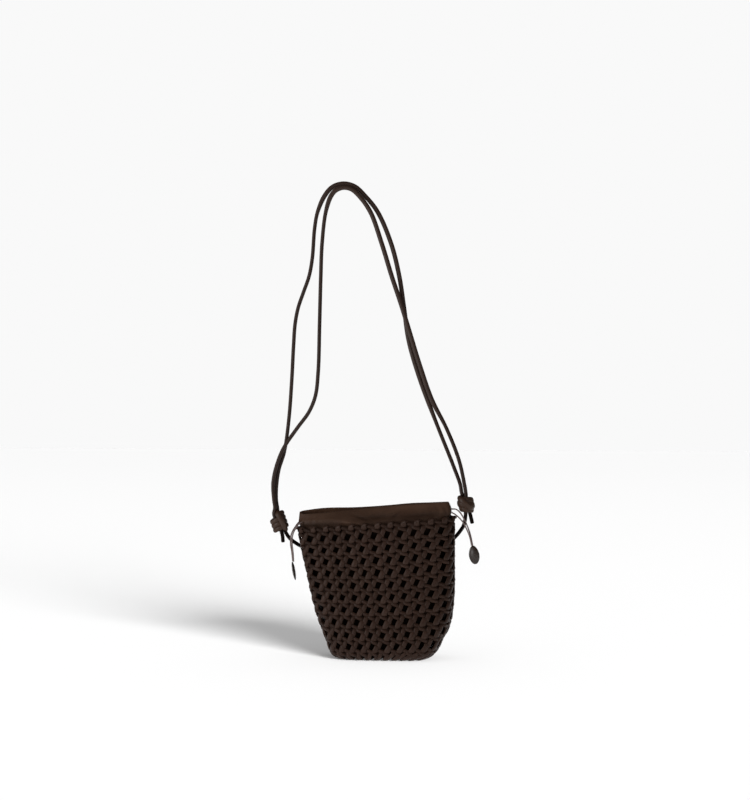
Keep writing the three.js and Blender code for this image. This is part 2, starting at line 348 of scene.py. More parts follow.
@dataclass(frozen=True)
class Finish:
    """A dyed leather or waxed cord, with its tones, gloss and grain.

    Attributes:
        name: The material's name.
        deep: The colour in the darker patches.
        pale: The colour in the lighter patches.
        roughness: The middle of its gloss.
        specular: How strongly it reflects.
        mottle: How many colour patches there are to a metre.
        grain: How many pores there are to a metre.
        grain_depth: How deep the pores are, in metres.
        stretch: How much longer than wide the grain is along the piece.
        crease: How deep its soft creases are, in metres.
        coordinates: What the pattern follows.
        tone_spread: How far the tones of a piece make it darker or lighter; the tones hold painted light
            and shade as well as its own tone.
    """

    name: str
    deep: Colour
    pale: Colour
    roughness: float
    specular: float
    mottle: float
    grain: float
    grain_depth: float = 0.00006
    stretch: float = 1.0
    crease: float = 0.0001
    coordinates: Coordinates = Coordinates.OBJECT
    tone_spread: float = 0.0

    PATCHES = (0.3, 0.7)
    PATCH_DETAIL = 5.0
    GLOSS_SHARE = 0.35
    GLOSS_DETAIL = 3.0
    GLOSS_CHANGE = 0.08
    CREASE_SHARE = 4.0
    CREASE_DETAIL = 4.0

    def material(self) -> bpy.types.Material:
        """The finish's material, made once."""
        made = bpy.data.materials.get(self.name)
        return made if made else self._make()

    def _make(self) -> bpy.types.Material:
        """Builds the material's nodes.

        Returns:
            The new material.
        """
        material = bpy.data.materials.new(self.name)
        graph = Graph(material)
        shader = graph.nodes["Principled BSDF"]
        place = graph.add("ShaderNodeTexCoord").outputs[self.coordinates.value]
        scale = (1.0, 1.0 / self.stretch, 1.0)
        place = graph.add("ShaderNodeMapping", {"Vector": place, "Scale": scale}).outputs["Vector"]
        patches = graph.noise(place, self.mottle, self.PATCH_DETAIL)
        tint = graph.add("ShaderNodeMix")
        tint.data_type = "RGBA"
        share = graph.spread(patches, self.PATCHES, UNIT)
        graph.fill(tint, {"A": (*self.deep, 1.0), "B": (*self.pale, 1.0), "Factor": share})
        colour = tint.outputs["Result"]
        graph.fill(shader, {"Specular IOR Level": self.specular})
        # The tone attribute holds painted light and shade as well as each piece's own tone, and it
        # scales both the colour and the sheen.
        if self.tone_spread:
            tone = graph.add("ShaderNodeAttribute")
            tone.attribute_name = "tone"
            low, high = 1.0 - self.tone_spread, 1.0 + self.tone_spread
            value = graph.spread(tone.outputs["Fac"], UNIT, (low, high))
            shade = graph.add("ShaderNodeHueSaturation", {"Value": value, "Color": colour})
            colour = shade.outputs["Color"]
            shine = (low * self.specular, high * self.specular)
            shine = graph.spread(tone.outputs["Fac"], UNIT, shine)
            graph.fill(shader, {"Specular IOR Level": shine})
        fine = graph.noise(place, self.grain * self.GLOSS_SHARE, self.GLOSS_DETAIL)
        gloss = (self.roughness - self.GLOSS_CHANGE, self.roughness + self.GLOSS_CHANGE)
        gloss = graph.spread(fine, self.PATCHES, gloss)
        relief = self._relief(graph, place)
        graph.fill(shader, {"Base Color": colour, "Roughness": gloss, "Normal": relief})
        return material

    def _relief(self, graph: Graph, place: Input) -> bpy.types.NodeSocket:
        """Pores over soft creases, as a bent normal.

        Args:
            graph: The material's nodes.
            place: Where on the piece the pattern is read.

        Returns:
            The socket with the bent normal.
        """
        pores = graph.add("ShaderNodeTexVoronoi")
        pores.feature = "SMOOTH_F1"
        graph.fill(pores, {"Vector": place, "Scale": self.grain})
        creases = graph.noise(place, self.mottle * self.CREASE_SHARE, self.CREASE_DETAIL)
        soft = graph.add("ShaderNodeBump", {"Distance": self.crease, "Height": creases})
        sharp = {"Distance": self.grain_depth, "Height": pores.outputs["Distance"]}
        sharp["Normal"] = soft.outputs["Normal"]
        return graph.add("ShaderNodeBump", sharp).outputs["Normal"]


WEAVE_FINISH = Finish(
    name="strip_leather",
    deep=(0.0198, 0.0091, 0.0057),
    pale=(0.0284, 0.0143, 0.0094),
    roughness=0.48,
    specular=0.1,
    mottle=60.0,
    grain=1500.0,
    stretch=3.0,
    coordinates=Coordinates.ALONG,
    tone_spread=0.5,
)
POUCH_FINISH = Finish(
    name="pouch_nappa",
    deep=(0.0355, 0.0168, 0.0096),
    pale=(0.048, 0.0248, 0.0148),
    roughness=0.5,
    specular=0.12,
    mottle=30.0,
    grain=1300.0,
    crease=0.0002,
    tone_spread=0.85,
)
CORD_FINISH = Finish(
    name="cord_leather",
    deep=(0.017, 0.0085, 0.0055),
    pale=(0.0325, 0.0178, 0.0126),
    roughness=0.42,
    specular=0.18,
    mottle=14.0,
    grain=1800.0,
    grain_depth=0.00002,
    stretch=4.0,
    crease=0.00002,
    coordinates=Coordinates.ALONG,
    tone_spread=0.8,
)
KNOT_FINISH = Finish(
    name="knot_leather",
    deep=(0.0288, 0.0138, 0.0077),
    pale=(0.0475, 0.0255, 0.0158),
    roughness=0.43,
    specular=0.2,
    mottle=70.0,
    grain=1600.0,
    stretch=2.0,
    coordinates=Coordinates.ALONG,
)
STRING_FINISH = Finish(
    name="waxed_string",
    deep=(0.11, 0.078, 0.071),
    pale=(0.17, 0.125, 0.115),
    roughness=0.55,
    specular=0.3,
    mottle=200.0,
    grain=3000.0,
    stretch=5.0,
    crease=0.00002,
    coordinates=Coordinates.ALONG,
)
TAB_FINISH = Finish(
    name="tab_leather_polished",
    deep=(0.0145, 0.0092, 0.006),
    pale=(0.0215, 0.014, 0.0094),
    roughness=0.3,
    specular=0.38,
    mottle=40.0,
    grain=1600.0,
    grain_depth=0.00001,
    crease=0.00001,
)


class Tubes:
    """Round or flattened tubes gathered into one mesh, with a map in metres round and along."""

    END_ROUND = 0.18

    def __init__(self, sides: int, square: float = 2.0) -> None:
        """Starts an empty mesh.

        Args:
            sides: How many sides each tube has.
            square: The exponent of its outline: 2 is an ellipse, and more is boxier.
        """
        angles = np.linspace(0.0, 2 * math.pi, sides, endpoint=False)
        self.sides = sides
        self.across = boxed(np.cos(angles), square)
        self.up = boxed(np.sin(angles), square)
        self.points: list[Array] = []
        self.faces: list[list[int]] = []
        self.maps: list[Array] = []
        self.tones: list[Array] = []
        self.count = 0

    def add(
        self,
        path: Array,
        facing: Array,
        width: Array | float,
        thick: Array | float,
        tone: Array | float = 0.5,
        closed: bool = False,
    ) -> None:
        """Adds one tube.

        Args:
            path: Its centreline, in millimetres.
            facing: At each point, the way that its flat side faces.
            width: How wide it is across its flat side.
            thick: How thick it is.
            tone: How light it is along its length, from 0 to 1.
            closed: Whether its end meets its start.
        """
        width = np.broadcast_to(np.asarray(width, float), len(path))
        thick = np.broadcast_to(np.asarray(thick, float), len(path))
        tone = np.broadcast_to(np.asarray(tone, float), len(path))
        if closed:
            along = unit(np.roll(path, -1, axis=0) - np.roll(path, 1, axis=0))
        else:
            path, facing, width, thick = self._with_ends(path, facing, width, thick)
            tone = np.concatenate([tone[:1], tone, tone[-1:]])
            along = unit(np.gradient(path, axis=0))
        facing = unit(facing - (facing * along).sum(1, keepdims=True) * along)
        side = np.cross(along, facing)
        rings = (
            path[:, None]
            + (side * width[:, None] / 2)[:, None] * self.across[None, :, None]
            + (facing * thick[:, None] / 2)[:, None] * self.up[None, :, None]
        )
        self._add_faces(len(path), closed)
        self._add_map(path, float(np.mean(width + thick)) * math.pi / 2, closed)
        self.points.append(rings.reshape(-1, 3))
        self.tones.append(np.repeat(tone, self.sides))
        self.count += rings.shape[0] * self.sides

    def _with_ends(
        self, path: Array, facing: Array, width: Array, thick: Array
    ) -> tuple[Array, Array, Array, Array]:
        """Rounds a tube's cut ends.

        Args:
            path: Its centreline.
            facing: The way that its flat side faces.
            width: Its widths.
            thick: Its thicknesses.

        Returns:
            The four with one smaller ring more at each end.
        """
        start = path[0] + unit(path[0] - path[1]) * thick[0] * self.END_ROUND
        end = path[-1] + unit(path[-1] - path[-2]) * thick[-1] * self.END_ROUND
        small = 1.0 - 2.0 * self.END_ROUND
        path = np.vstack([start, path, end])
        facing = np.vstack([facing[:1], facing, facing[-1:]])
        width = np.concatenate([width[:1] * small, width, width[-1:] * small])
        thick = np.concatenate([thick[:1] * small, thick, thick[-1:] * small])
        return path, facing, width, thick

    def _add_faces(self, rings: int, closed: bool) -> None:
        """Adds a tube's faces.

        Args:
            rings: How many rings of corners it has.
            closed: Whether its end meets its start.
        """
        self.faces += (ring_quads(rings, self.sides, closed) + self.count).tolist()
        if not closed:
            first = self.count + np.arange(self.sides)
            self.faces.append(first.tolist())
            self.faces.append((first + (rings - 1) * self.sides)[::-1].tolist())

    def _add_map(self, path: Array, girth: float, closed: bool) -> None:
        """Adds a tube's map, with metres round it and along it.

        Args:
            path: The tube's centreline, in millimetres.
            girth: How far it is round the tube.
            closed: Whether its end meets its start.
        """
        whole = np.vstack([path, path[:1]]) if closed else path
        along = lengths_along(whole) * MM
        around = np.arange(self.sides + 1) / self.sides * girth * MM
        start, end = along[:-1, None], along[1:, None]
        left, right = around[None, :-1], around[None, 1:]
        corners = [(left, start), (left, end), (right, end), (right, start)]
        grid = (len(along) - 1, self.sides)
        maps = [np.stack(np.broadcast_arrays(a, s), axis=-1).reshape(*grid, 2) for a, s in corners]
        self.maps.append(np.stack(maps, axis=2).reshape(-1, 2))
        if not closed:
            self.maps.append(np.zeros((2 * self.sides, 2)))

    def build(self, name: str) -> bpy.types.Object:
        """Makes the object.

        Args:
            name: Its name.

        Returns:
            The new object.
        """
        obj = mesh_object(name, np.vstack(self.points), self.faces)
        layer = obj.data.uv_layers.new(name="Along")
        layer.data.foreach_set("uv", np.vstack(self.maps).astype(np.float32).ravel())
        set_tone(obj, self.tones)
        return obj


@dataclass(frozen=True)
class Section:
    """One level of a soft vessel's outer form.

    Attributes:
        height: How high it is.
        left: Where its left end is.
        right: Where its right end is.
        depth: Half of its size from front to back.
        square: The exponent of its rounded outline.
        rise: How much it climbs towards the right.
    """

    height: float
    left: float
    right: float
    depth: float
    square: float
    rise: float


class Form:
    """A skin lofted through sections, laid out in columns from the middle of the front."""

    OUTLINE_STEPS = 1440
    STEPS_PER_COLUMN = 24
    LEVEL_STEP = 1.0

    def __init__(self, sections: tuple[Section, ...], columns: int) -> None:
        """Lays out the skin.

        Args:
            sections: Its levels, from the lowest up.
            columns: How many columns go round it.
        """
        self.columns = columns
        self.table = np.array([astuple(section) for section in sections])
        self.lowest, highest = self.table[0, 0], self.table[-1, 0]
        levels = np.arange(self.lowest, highest + self.LEVEL_STEP / 2, self.LEVEL_STEP)
        shares = np.arange(columns * self.STEPS_PER_COLUMN + 1) / (columns * self.STEPS_PER_COLUMN)
        self.skin = np.stack([self.ring(self.level(h), shares) for h in levels])
        around = np.gradient(self.skin, axis=1)
        around[:, 0] = around[:, -1] = (self.skin[:, 1] - self.skin[:, -2]) / 2
        upwards = np.gradient(self.skin, axis=0)
        self.across, self.upwards = unit(around), unit(upwards)
        self.outwards = unit(np.cross(around, upwards))

    def level(self, height: float) -> Array:
        """A section at any height, on a smooth curve through the table.

        Args:
            height: The wanted height.

        Returns:
            The section's numbers, in the order of Section's fields.
        """
        rows, at = self.table, self.table[:, 0]
        slopes = np.empty_like(rows)
        slopes[1:-1] = (rows[2:] - rows[:-2]) / (at[2:] - at[:-2])[:, None]
        slopes[0] = (rows[1] - rows[0]) / (at[1] - at[0])
        slopes[-1] = (rows[-1] - rows[-2]) / (at[-1] - at[-2])
        i = int(np.clip(np.searchsorted(at, height) - 1, 0, len(at) - 2))
        span = at[i + 1] - at[i]
        t = (height - at[i]) / span
        found = curve(t, rows[i], span * slopes[i], rows[i + 1], span * slopes[i + 1])
        found[0] = height
        return found

    def ring(self, level: Array, shares: Array, inset: float = 0.0) -> Array:
        """Points at given shares of the way round a section.

        Args:
            level: The section's numbers.
            shares: How far round each point is, from the middle of the front towards the right.
            inset: How far inside the section the ring lies.

        Returns:
            The points, one to a row.
        """
        height, left, right, depth, square, rise = level
        half, middle = (right - left) / 2 - inset, (right + left) / 2
        angle = np.linspace(-math.pi / 2, 3 * math.pi / 2, self.OUTLINE_STEPS + 1)
        x = boxed(np.cos(angle), square) * half
        y = boxed(np.sin(angle), square) * (depth - inset)
        along = lengths_along(np.column_stack([x, y]))
        wanted = np.mod(shares, 1.0) * along[-1]
        wanted[(shares > 0) & (wanted == 0)] = along[-1]
        x, y = np.interp(wanted, along, x), np.interp(wanted, along, y)
        return np.column_stack([middle + x, y, BASE_LEVEL + height + rise * x])

    def lay(self, column: Array, height: Array) -> tuple[Array, Array, Array, Array]:
        """The skin at given places.

        Args:
            column: How many columns to the right of the front's middle.
            height: How high.

        Returns:
            The points, and the directions outwards, towards the next column and upwards.
        """
        last = self.skin.shape[1] - 1
        a = np.mod(column, self.columns) * self.STEPS_PER_COLUMN
        b = np.clip((height - self.lowest) / self.LEVEL_STEP, 0, len(self.skin) - 1.001)
        i, j = np.minimum(a.astype(int), last - 1), b.astype(int)
        p, q = (a - i)[:, None], (b - j)[:, None]

        def blend(grid: Array) -> Array:
            """Mixes the four nearest points of a grid."""
            low = grid[j, i] * (1 - p) + grid[j, i + 1] * p
            high = grid[j + 1, i] * (1 - p) + grid[j + 1, i + 1] * p
            return low * (1 - q) + high * q

        directions = (self.outwards, self.across, self.upwards)
        return blend(self.skin), *(unit(blend(grid)) for grid in directions)


BASKET_SECTIONS = (
    Section(0, -4, 92, 31, 3.8, 0),
    Section(3, -10, 98.5, 35, 3.8, 0.008),
    Section(8, -14.6, 104.4, 38, 3.6, 0.016),
    Section(18, -18.4, 109.6, 39.5, 3.4, 0.026),
    Section(32, -23.6, 117.4, 38.5, 3.2, 0.034),
    Section(50, -30.8, 121.4, 35.5, 3, 0.042),
    Section(75, -37.6, 123.3, 32.3, 2.9, 0.05),
    Section(100, -43, 123.3, 29.5, 2.8, 0.06),
    Section(125, -48.8, 123.5, 26.3, 2.7, 0.07),
    Section(151, -53.4, 123.6, 23.6, 2.6, 0.078),
)
# How far the soft weave's columns are pulled round the bag: by column, and how much by height.
COLUMN_PULL: Table = (
    (-8, 0), (-6.5, -0.06), (-5.5, 0.24), (-5, 0.4), (-4, 0.42), (-3, 0.27), (-2, 0.15),
    (-1, 0.065), (0, -0.02), (1, -0.09), (2, -0.2), (3, -0.24), (4, -0.19), (5, -0.1),
    (6, -0.03), (7.5, 0),
)
PULL_BY_HEIGHT: Table = (
    (15, 0.6), (27, 0.75), (41, 0.9), (55, 1), (68, 1), (81, 0.9), (96, 0.8), (109, 0.65),
    (122, 0.55), (142, 0.5),
)
# The same for the rows next to the base.
FOOT_PULL: Table = (
    (-8, 0), (-6.5, 0.1), (-5, 0.2), (-3, 0.25), (0, 0.25), (1, 0.33), (2, 0.37), (3, 0.45),
    (4, 0.5), (5, 0.45), (6.5, 0.3), (8, 0),
)
FOOT_BY_HEIGHT: Table = ((15, 1), (34, 0))
# How far the rings climb towards the bag's ends, by height.
RING_CLIMB: Table = ((10, 0.5), (45, 3.2), (80, 3), (142, 0))


@dataclass
class StripRun:
    """A stretch of an upright strip before it is woven.

    Attributes:
        points: Its places on the middle surface of the weave.
        outwards: The way out of the bag at each.
        sideways: The way that it leans at each.
        facing: The way that its flat side faces at each.
        keys: At each, the height or place by which its crossings are found.
        crossings: For each crossing, its key and how far out the strip passes there.
        leans: Keys and how far it is pushed sideways at each.
        width: How wide it is at each point.
        swell: How much wider it is where it leans furthest left, or 0 where it doesn't swell.
    """

    points: Array
    outwards: Array
    sideways: Array
    facing: Array
    keys: Array
    crossings: list[tuple[float, float]]
    leans: list[tuple[float, float]]
    width: Array
    swell: float = 0.0

    def backwards(self) -> "StripRun":
        """The same stretch, run from its other end."""
        flipped = [a[::-1] for a in (self.points, self.outwards, self.sideways, self.facing)]
        width = self.width[::-1]
        return StripRun(*flipped, self.keys[::-1], self.crossings, self.leans, width, self.swell)


@dataclass
class Basket:
    """The open basket: pairs of padded leather strips, woven over one and under the next.

    Uprights run down one side, under the base and up the other, and fold over the top ring. They
    are numbered from the left end of the front round the bag, and rings from the top.
    """

    form: Form = field(default_factory=lambda: Form(BASKET_SECTIONS, 26))
    first_column: float = -4.5
    long_pairs: int = 10
    side_pairs: int = 3
    ring_pairs: int = 11
    top_pair_height: float = 142.7
    top_ring_lift: float = 1.2
    row_pitch: float = 13.35
    pair_share: float = 0.27
    ring_spread: float = 3.2
    even_width: float = 6.1
    odd_width: float = 5.2
    even_swell: float = 0.08
    base_width: float = 5.4
    ring_width: float = 4.15
    thick: float = 2.9
    even_reach: Span = (-1.0, 1.2)
    odd_reach: Span = (-1.3, 0.85)
    lean: float = 2.3
    ring_lean: float = 1.8
    top_lean: float = 1.2
    return_half: float = 1.9
    bend: float = 5.5
    ring_bend: float = 6.5
    straight: float = 0.9
    base_lean: float = 0.5
    base_middle: float = 44.0
    base_pair_spread: float = 1.15
    base_long_pitch: float = 9.4
    base_side_pitch: float = 13.0
    settle_height: float = 9.0
    wall_foot: float = 1.6
    full_pitch: float = 13.4
    narrowest: float = 0.7
    widest: float = 1.05
    step: float = 1.4
    sides: int = 10
    square: float = 2.2
    wobble: float = 0.28
    end_calm: float = 0.2
    calm_from: float = 0.7
    tone_wobble: float = 0.25
    # Painted light and shade: strips are painted lighter where they pass outside and darker where they
    # pass inside.
    painted_light_by_depth: float = 0.21
    # Painted shade: the rings are painted darker than the uprights.
    ring_painted_shade: float = 0.5
    # Painted shade: the rings are painted darker still towards the bag's left end.
    left_painted_shade: float = 0.27
    painted_shade_from: float = 25.0
    painted_shade_width: float = 60.0
    seed: int = 7

    RIM_STEPS = 2000
    FOLD_STEPS = 8

    def __post_init__(self) -> None:
        """Works out where the strips lie."""
        self.rng = np.random.default_rng(self.seed)
        self.rings = 2 * self.ring_pairs
        self.uprights = 2 * self.form.columns
        pair = np.arange(self.rings) // 2
        upper = np.arange(self.rings) % 2 == 0
        offset = np.where(upper, self.ring_spread / 2, -self.ring_spread / 2)
        self.ring_heights = self.top_pair_height - pair * self.row_pitch + offset
        self.ring_heights[0] += self.top_ring_lift
        self.amplitude = self.thick / 2
        shares = np.linspace(0.0, 1.0, self.RIM_STEPS + 1)
        self.base_rim = self.form.ring(self.form.level(0.0), shares)
        wobble = self.rng.normal(0.0, self.wobble, self.uprights)
        self.upright_columns = np.array(
            [self._column(i) + wobble[i] / self.full_pitch for i in range(self.uprights)]
        )
        self.base_columns = np.array([self._base_column(i) for i in range(self.uprights)])

    @property
    def long_strips(self) -> int:
        """How many strips run from the front to the back."""
        return 2 * self.long_pairs

    @property
    def side_strips(self) -> int:
        """How many strips run from the right to the left."""
        return 2 * self.side_pairs

    def _column(self, upright: int) -> float:
        """The column that an upright stands in on the walls."""
        side = self.pair_share / 2 if upright % 2 else -self.pair_share / 2
        return self.first_column + upright // 2 + side

    def long_place(self, strip: int) -> float:
        """Where along X a front-to-back strip crosses the base."""
        return self._base_place(strip, self.long_pairs, self.base_long_pitch) + self.base_middle

    def side_place(self, strip: int) -> float:
        """Where along Y a right-to-left strip crosses the base."""
        return self._base_place(strip, self.side_pairs, self.base_side_pitch)

    def _base_place(self, strip: int, pairs: int, pitch: float) -> float:
        """How far from the base's middle a strip crosses it.

        Args:
            strip: The strip's number among those that run its way.
            pairs: How many pairs run that way.
            pitch: How far apart they are.

        Returns:
            The distance.
        """
        side = 0.5 if strip % 2 else -0.5
        apart = side * self.pair_share * self.base_pair_spread
        return (strip // 2 - (pairs - 1) / 2 + apart) * pitch

    def _base_column(self, upright: int) -> float:
        """The column in which an upright reaches the base.

        Args:
            upright: The upright's number.

        Returns:
            The column, near the upright's own.
        """
        long, side = self.long_strips, self.side_strips
        if upright < long:
            place, axis, seen = self.long_place(upright), 0, self.base_rim[:, 1] < 0
        elif upright < long + side:
            place, axis = self.side_place(upright - long), 1
            seen = self.base_rim[:, 0] > self.base_middle
        elif upright < 2 * long + side:
            place, axis = self.long_place(2 * long + side - 1 - upright), 0
            seen = self.base_rim[:, 1] > 0
        else:
            place, axis = self.side_place(self.uprights - 1 - upright), 1
            seen = self.base_rim[:, 0] < self.base_middle
        away = np.where(seen, np.abs(self.base_rim[:, axis] - place), np.inf)
        column = np.argmin(away) / (len(self.base_rim) - 1) * self.form.columns
        turns = round((self._column(upright) - column) / self.form.columns)
        return column + turns * self.form.columns

    def columns_at(self, upright: int, height: Array) -> Array:
        """The columns of an upright on its way down.

        Args:
            upright: The upright's number.
            height: The heights.

        Returns:
            Its column at each height.
        """
        settled = ease((self.settle_height - height) / self.settle_height)
        even = self.upright_columns[upright]
        column = even + self._pull(self._turn(even), height)
        return column + (self.base_columns[upright] - column) * settled

    def _pull(self, turn: float, height: Array) -> Array:
        """How many columns the soft weave is pulled round the bag at given heights."""
        wall = from_table(COLUMN_PULL, turn) * from_table(PULL_BY_HEIGHT, height)
        return wall + from_table(FOOT_PULL, turn) * from_table(FOOT_BY_HEIGHT, height)

    def _turn(self, column: Array) -> Array:
        """How far round a column is from the middle of the front, to the right or the left."""
        half = self.form.columns / 2
        return np.mod(column + half, self.form.columns) - half

    def ring_levels(self, column: Array, ring: Array) -> Array:
        """How high rings run in a column, higher towards the bag's ends."""
        height = self.ring_heights[ring]
        end = np.sin(2 * math.pi * column / self.form.columns) ** 2
        return height + end * from_table(RING_CLIMB, height)

    def _middle(self, column: Array, height: Array) -> tuple[Array, Array, Array, Array]:
        """The middle surface of the weave, one strip inside the skin."""
        points, outwards, across, upwards = self.form.lay(column, height)
        return points - outwards * self.thick, outwards, across, upwards

    def reach(self, upright: Array, ring: Array) -> Array:
        """How far out uprights pass where they cross rings.

        Args:
            upright: The uprights' numbers.
            ring: The rings' numbers.

        Returns:
            The distance out from the middle of the weave, as a share of half a strip.
        """
        even, odd = (
            np.where((upright + ring) % 2 == 0, outside, inside)
            for inside, outside in (self.even_reach, self.odd_reach)
        )
        return np.where(upright % 2 == 0, even, odd)

    def _width_at(self, upright: int, column: Array, height: Array) -> Array:
        """How wide an upright is, narrower where the columns are closer."""
        full = self.odd_width if upright % 2 else self.even_width
        turn = self._turn(self.upright_columns[upright])
        stretch = 1.0 + self._pull(turn + 0.5, height) - self._pull(turn - 0.5, height)
        pitch = self._pitch_at(column, height) * stretch
        return full * np.clip(pitch / self.full_pitch, self.narrowest, self.widest)

    def _pitch_at(self, column: Array, height: Array) -> Array:
        """How far apart neighbouring columns are."""
        ahead = self.form.lay(column + 0.5, height)[0]
        behind = self.form.lay(column - 0.5, height)[0]
        return np.linalg.norm(ahead - behind, axis=1)

    def wall_run(self, upright: int, flip: int, facing: int) -> StripRun:
        """An upright from the top ring down to the base.

        Args:
            upright: Its number.
            flip: -1 where its columns run against the way that it leans.
            facing: Which of its flat sides faces out.

        Returns:
            The run, downwards.
        """
        top = self.ring_heights[0]
        height = np.linspace(top, self.wall_foot, round((top - self.wall_foot) / self.step))
        column = self.columns_at(upright, height)
        points, outwards, across, _ = self._middle(column, height)
        rings = np.arange(self.rings)
        reach = self.reach(np.array(upright), rings)
        levels = self.ring_levels(self.upright_columns[upright], rings)
        leans = [(-top, -self.top_lean * flip)] if reach[0] > 0 else []
        for hidden in levels[reach < 0]:
            leans.append((-hidden - self.return_half, -self.lean * flip))
            leans.append((-hidden + self.return_half, self.lean * flip))
        return StripRun(
            points=points,
            outwards=outwards,
            sideways=across * flip,
            facing=outwards * facing,
            keys=-height,
            crossings=list(zip(-levels, reach)),
            leans=leans,
            width=self._width_at(upright, column, height),
            swell=0.0 if upright % 2 else self.even_swell * flip,
        )

    def fold_run(self, outer: int, inner: int, flip: int, facing: int) -> StripRun:
        """The fold of a pair over the top ring, from its outer strip to its inner one.

        Args:
            outer: The upright that passes outside the top ring.
            inner: The upright that passes inside it.
            flip: -1 where its columns run against the way that it leans.
            facing: Which flat side faces out where it starts.

        Returns:
            The run.
        """
        turn = np.linspace(0.0, math.pi, self.FOLD_STEPS + 1)[1:-1]
        top = self.ring_heights[0]
        height = top + np.sin(turn) * (self.ring_width + self.thick) / 2
        ends = [self.columns_at(i, np.array([top]))[0] for i in (outer, inner)]
        column = ends[0] + (ends[1] - ends[0]) * (1 - np.cos(turn)) / 2
        points, outwards, across, upwards = self._middle(column, height)
        facings = np.cos(turn)[:, None] * outwards + np.sin(turn)[:, None] * upwards
        return StripRun(
            points=points,
            outwards=outwards,
            sideways=across * flip,
            facing=facings * facing,
            keys=turn,
            crossings=[],
            leans=[],
            width=self._width_at(outer, column, height),
        )

    def base_run(self, strip: int, is_long: bool, facing: int) -> StripRun:
        """A strip across the base, from the front to the back or from the left to the right.

        Args:
            strip: The strip's number among those that run its way.
            is_long: Whether it runs from front to back.
            facing: Which of its flat sides faces out.

        Returns:
            The run.
        """
        axis, cross_axis = (1, 0) if is_long else (0, 1)
        place = self.long_place(strip) if is_long else self.side_place(strip)
        rim = self.base_rim[:, :2]
        near = np.abs(rim[:, cross_axis] - place)
        middle = 0.0 if is_long else self.base_middle
        ends = [
            rim[np.argmin(np.where(seen, near, np.inf)), axis]
            for seen in (rim[:, axis] < middle, rim[:, axis] > middle)
        ]
        low, high = ends[0] + 2 * self.step, ends[1] - 2 * self.step
        keys = np.linspace(low, high, round((high - low) / self.step))
        points = np.zeros((len(keys), 3))
        points[:, axis], points[:, cross_axis] = keys, place
        points[:, 2] = BASE_LEVEL + self.thick
        sideways, down = np.zeros((len(keys), 3)), np.zeros((len(keys), 3))
        sideways[:, cross_axis], down[:, 2] = 1.0, -1.0
        others = np.arange(self.side_strips if is_long else self.long_strips)
        where = [self.side_place(o) if is_long else self.long_place(o) for o in others]
        parity = 0 if is_long else 1
        over = np.where((others + strip) % 2 == parity, 1.0, -1.0)
        leans = np.where(others % 2 == parity, -self.base_lean, self.base_lean)
        pitch = self.base_long_pitch if is_long else self.base_side_pitch
        width = self.base_width * np.clip(pitch / self.full_pitch, self.narrowest, 1.0)
        return StripRun(
            points=points,
            outwards=down,
            sideways=sideways,
            facing=down * facing,
            keys=keys,
            crossings=list(zip(where, over)),
            leans=list(zip(where, leans)),
            width=np.full(len(keys), width),
        )

    def _add_loop(self, tubes: Tubes, runs: list[StripRun]) -> None:
        """Weaves one closed strip and adds it to a mesh.

        Args:
            tubes: The mesh.
            runs: The strip's stretches in order, ending where they start.
        """
        path = np.vstack([run.points for run in runs])
        along = lengths_along(np.vstack([path, path[:1]]))
        sides, leans, start = [], [], 0
        for run in runs:
            stretch = along[start : start + len(run.points)]
            order = np.argsort(run.keys)
            for found, wanted in ((sides, run.crossings), (leans, run.leans)):
                for key, value in wanted:
                    found.append((np.interp(key, run.keys[order], stretch[order]), value))
            start += len(run.points)
        at, around = along[:-1], along[-1]
        out = eased_between(at, *np.array(sides).T, around, bend=self.bend)
        lean = eased_between(at, *np.array(leans).T, around, self.straight)
        outwards = np.vstack([run.outwards for run in runs])
        calm = self._calm(outwards)
        path = path + outwards * (out * calm * self.amplitude)[:, None]
        path = path + np.vstack([run.sideways for run in runs]) * lean[:, None]
        width = self._evened(np.concatenate([run.width for run in runs]))
        swell = np.concatenate([np.full(len(run.points), run.swell) for run in runs])
        width = width * (1.0 - self._evened(swell) * np.clip(lean / self.lean, -1.0, 1.0))
        facing = np.vstack([run.facing for run in runs])
        tubes.add(path, facing, width, self.thick * calm, self._tone(out), closed=True)

    def _calm(self, outwards: Array) -> Array:
        """How much of its swing a strip keeps, less where the wall turns to the bag's ends."""
        turned = (np.abs(outwards[:, 0]) - self.calm_from) / (1.0 - self.calm_from)
        return 1.0 - self.end_calm * ease(turned)

    def _tone(self, out: Array) -> Array:
        """How light a strip is along its length: its own random tone, with painted light where it passes
        outside and painted shade where it passes inside.
        """
        own = 0.5 + (self.rng.random() - 0.5) * self.tone_wobble
        return np.clip(own + out * self.painted_light_by_depth, 0.0, 1.0)

    @staticmethod
    def _evened(values: Array, reach: int = 4) -> Array:
        """Values round a closed strip, each the mean of those within reach of it."""
        count = 2 * reach + 1
        wrapped = np.concatenate([values[-reach:], values, values[:reach]])
        return np.convolve(wrapped, np.full(count, 1.0 / count), mode="valid")

    def upright_strips(self, name: str, first: int, last: int, is_long: bool) -> bpy.types.Object:
        """The pairs that run down one wall, under the base and up the wall across from it.

        Args:
            name: The mesh's name.
            first: The first upright of the one wall.
            last: The last upright of the other.
            is_long: Whether they run from front to back, and not from right to left.

        Returns:
            The new mesh.
        """
        tubes = Tubes(self.sides, self.square)
        for pair in range(self.long_pairs if is_long else self.side_pairs):
            outer, inner = 2 * pair, 2 * pair + 1
            there, back = self.base_run(inner, is_long, -1), self.base_run(outer, is_long, 1)
            runs = [
                self.wall_run(first + outer, 1, 1).backwards(),
                self.fold_run(first + outer, first + inner, 1, 1),
                self.wall_run(first + inner, 1, -1),
                there if is_long else there.backwards(),
                self.wall_run(last - inner, -1, -1).backwards(),
                self.fold_run(last - inner, last - outer, -1, -1),
                self.wall_run(last - outer, -1, 1),
                back.backwards() if is_long else back,
            ]
            self._add_loop(tubes, runs)
        return tubes.build(name)

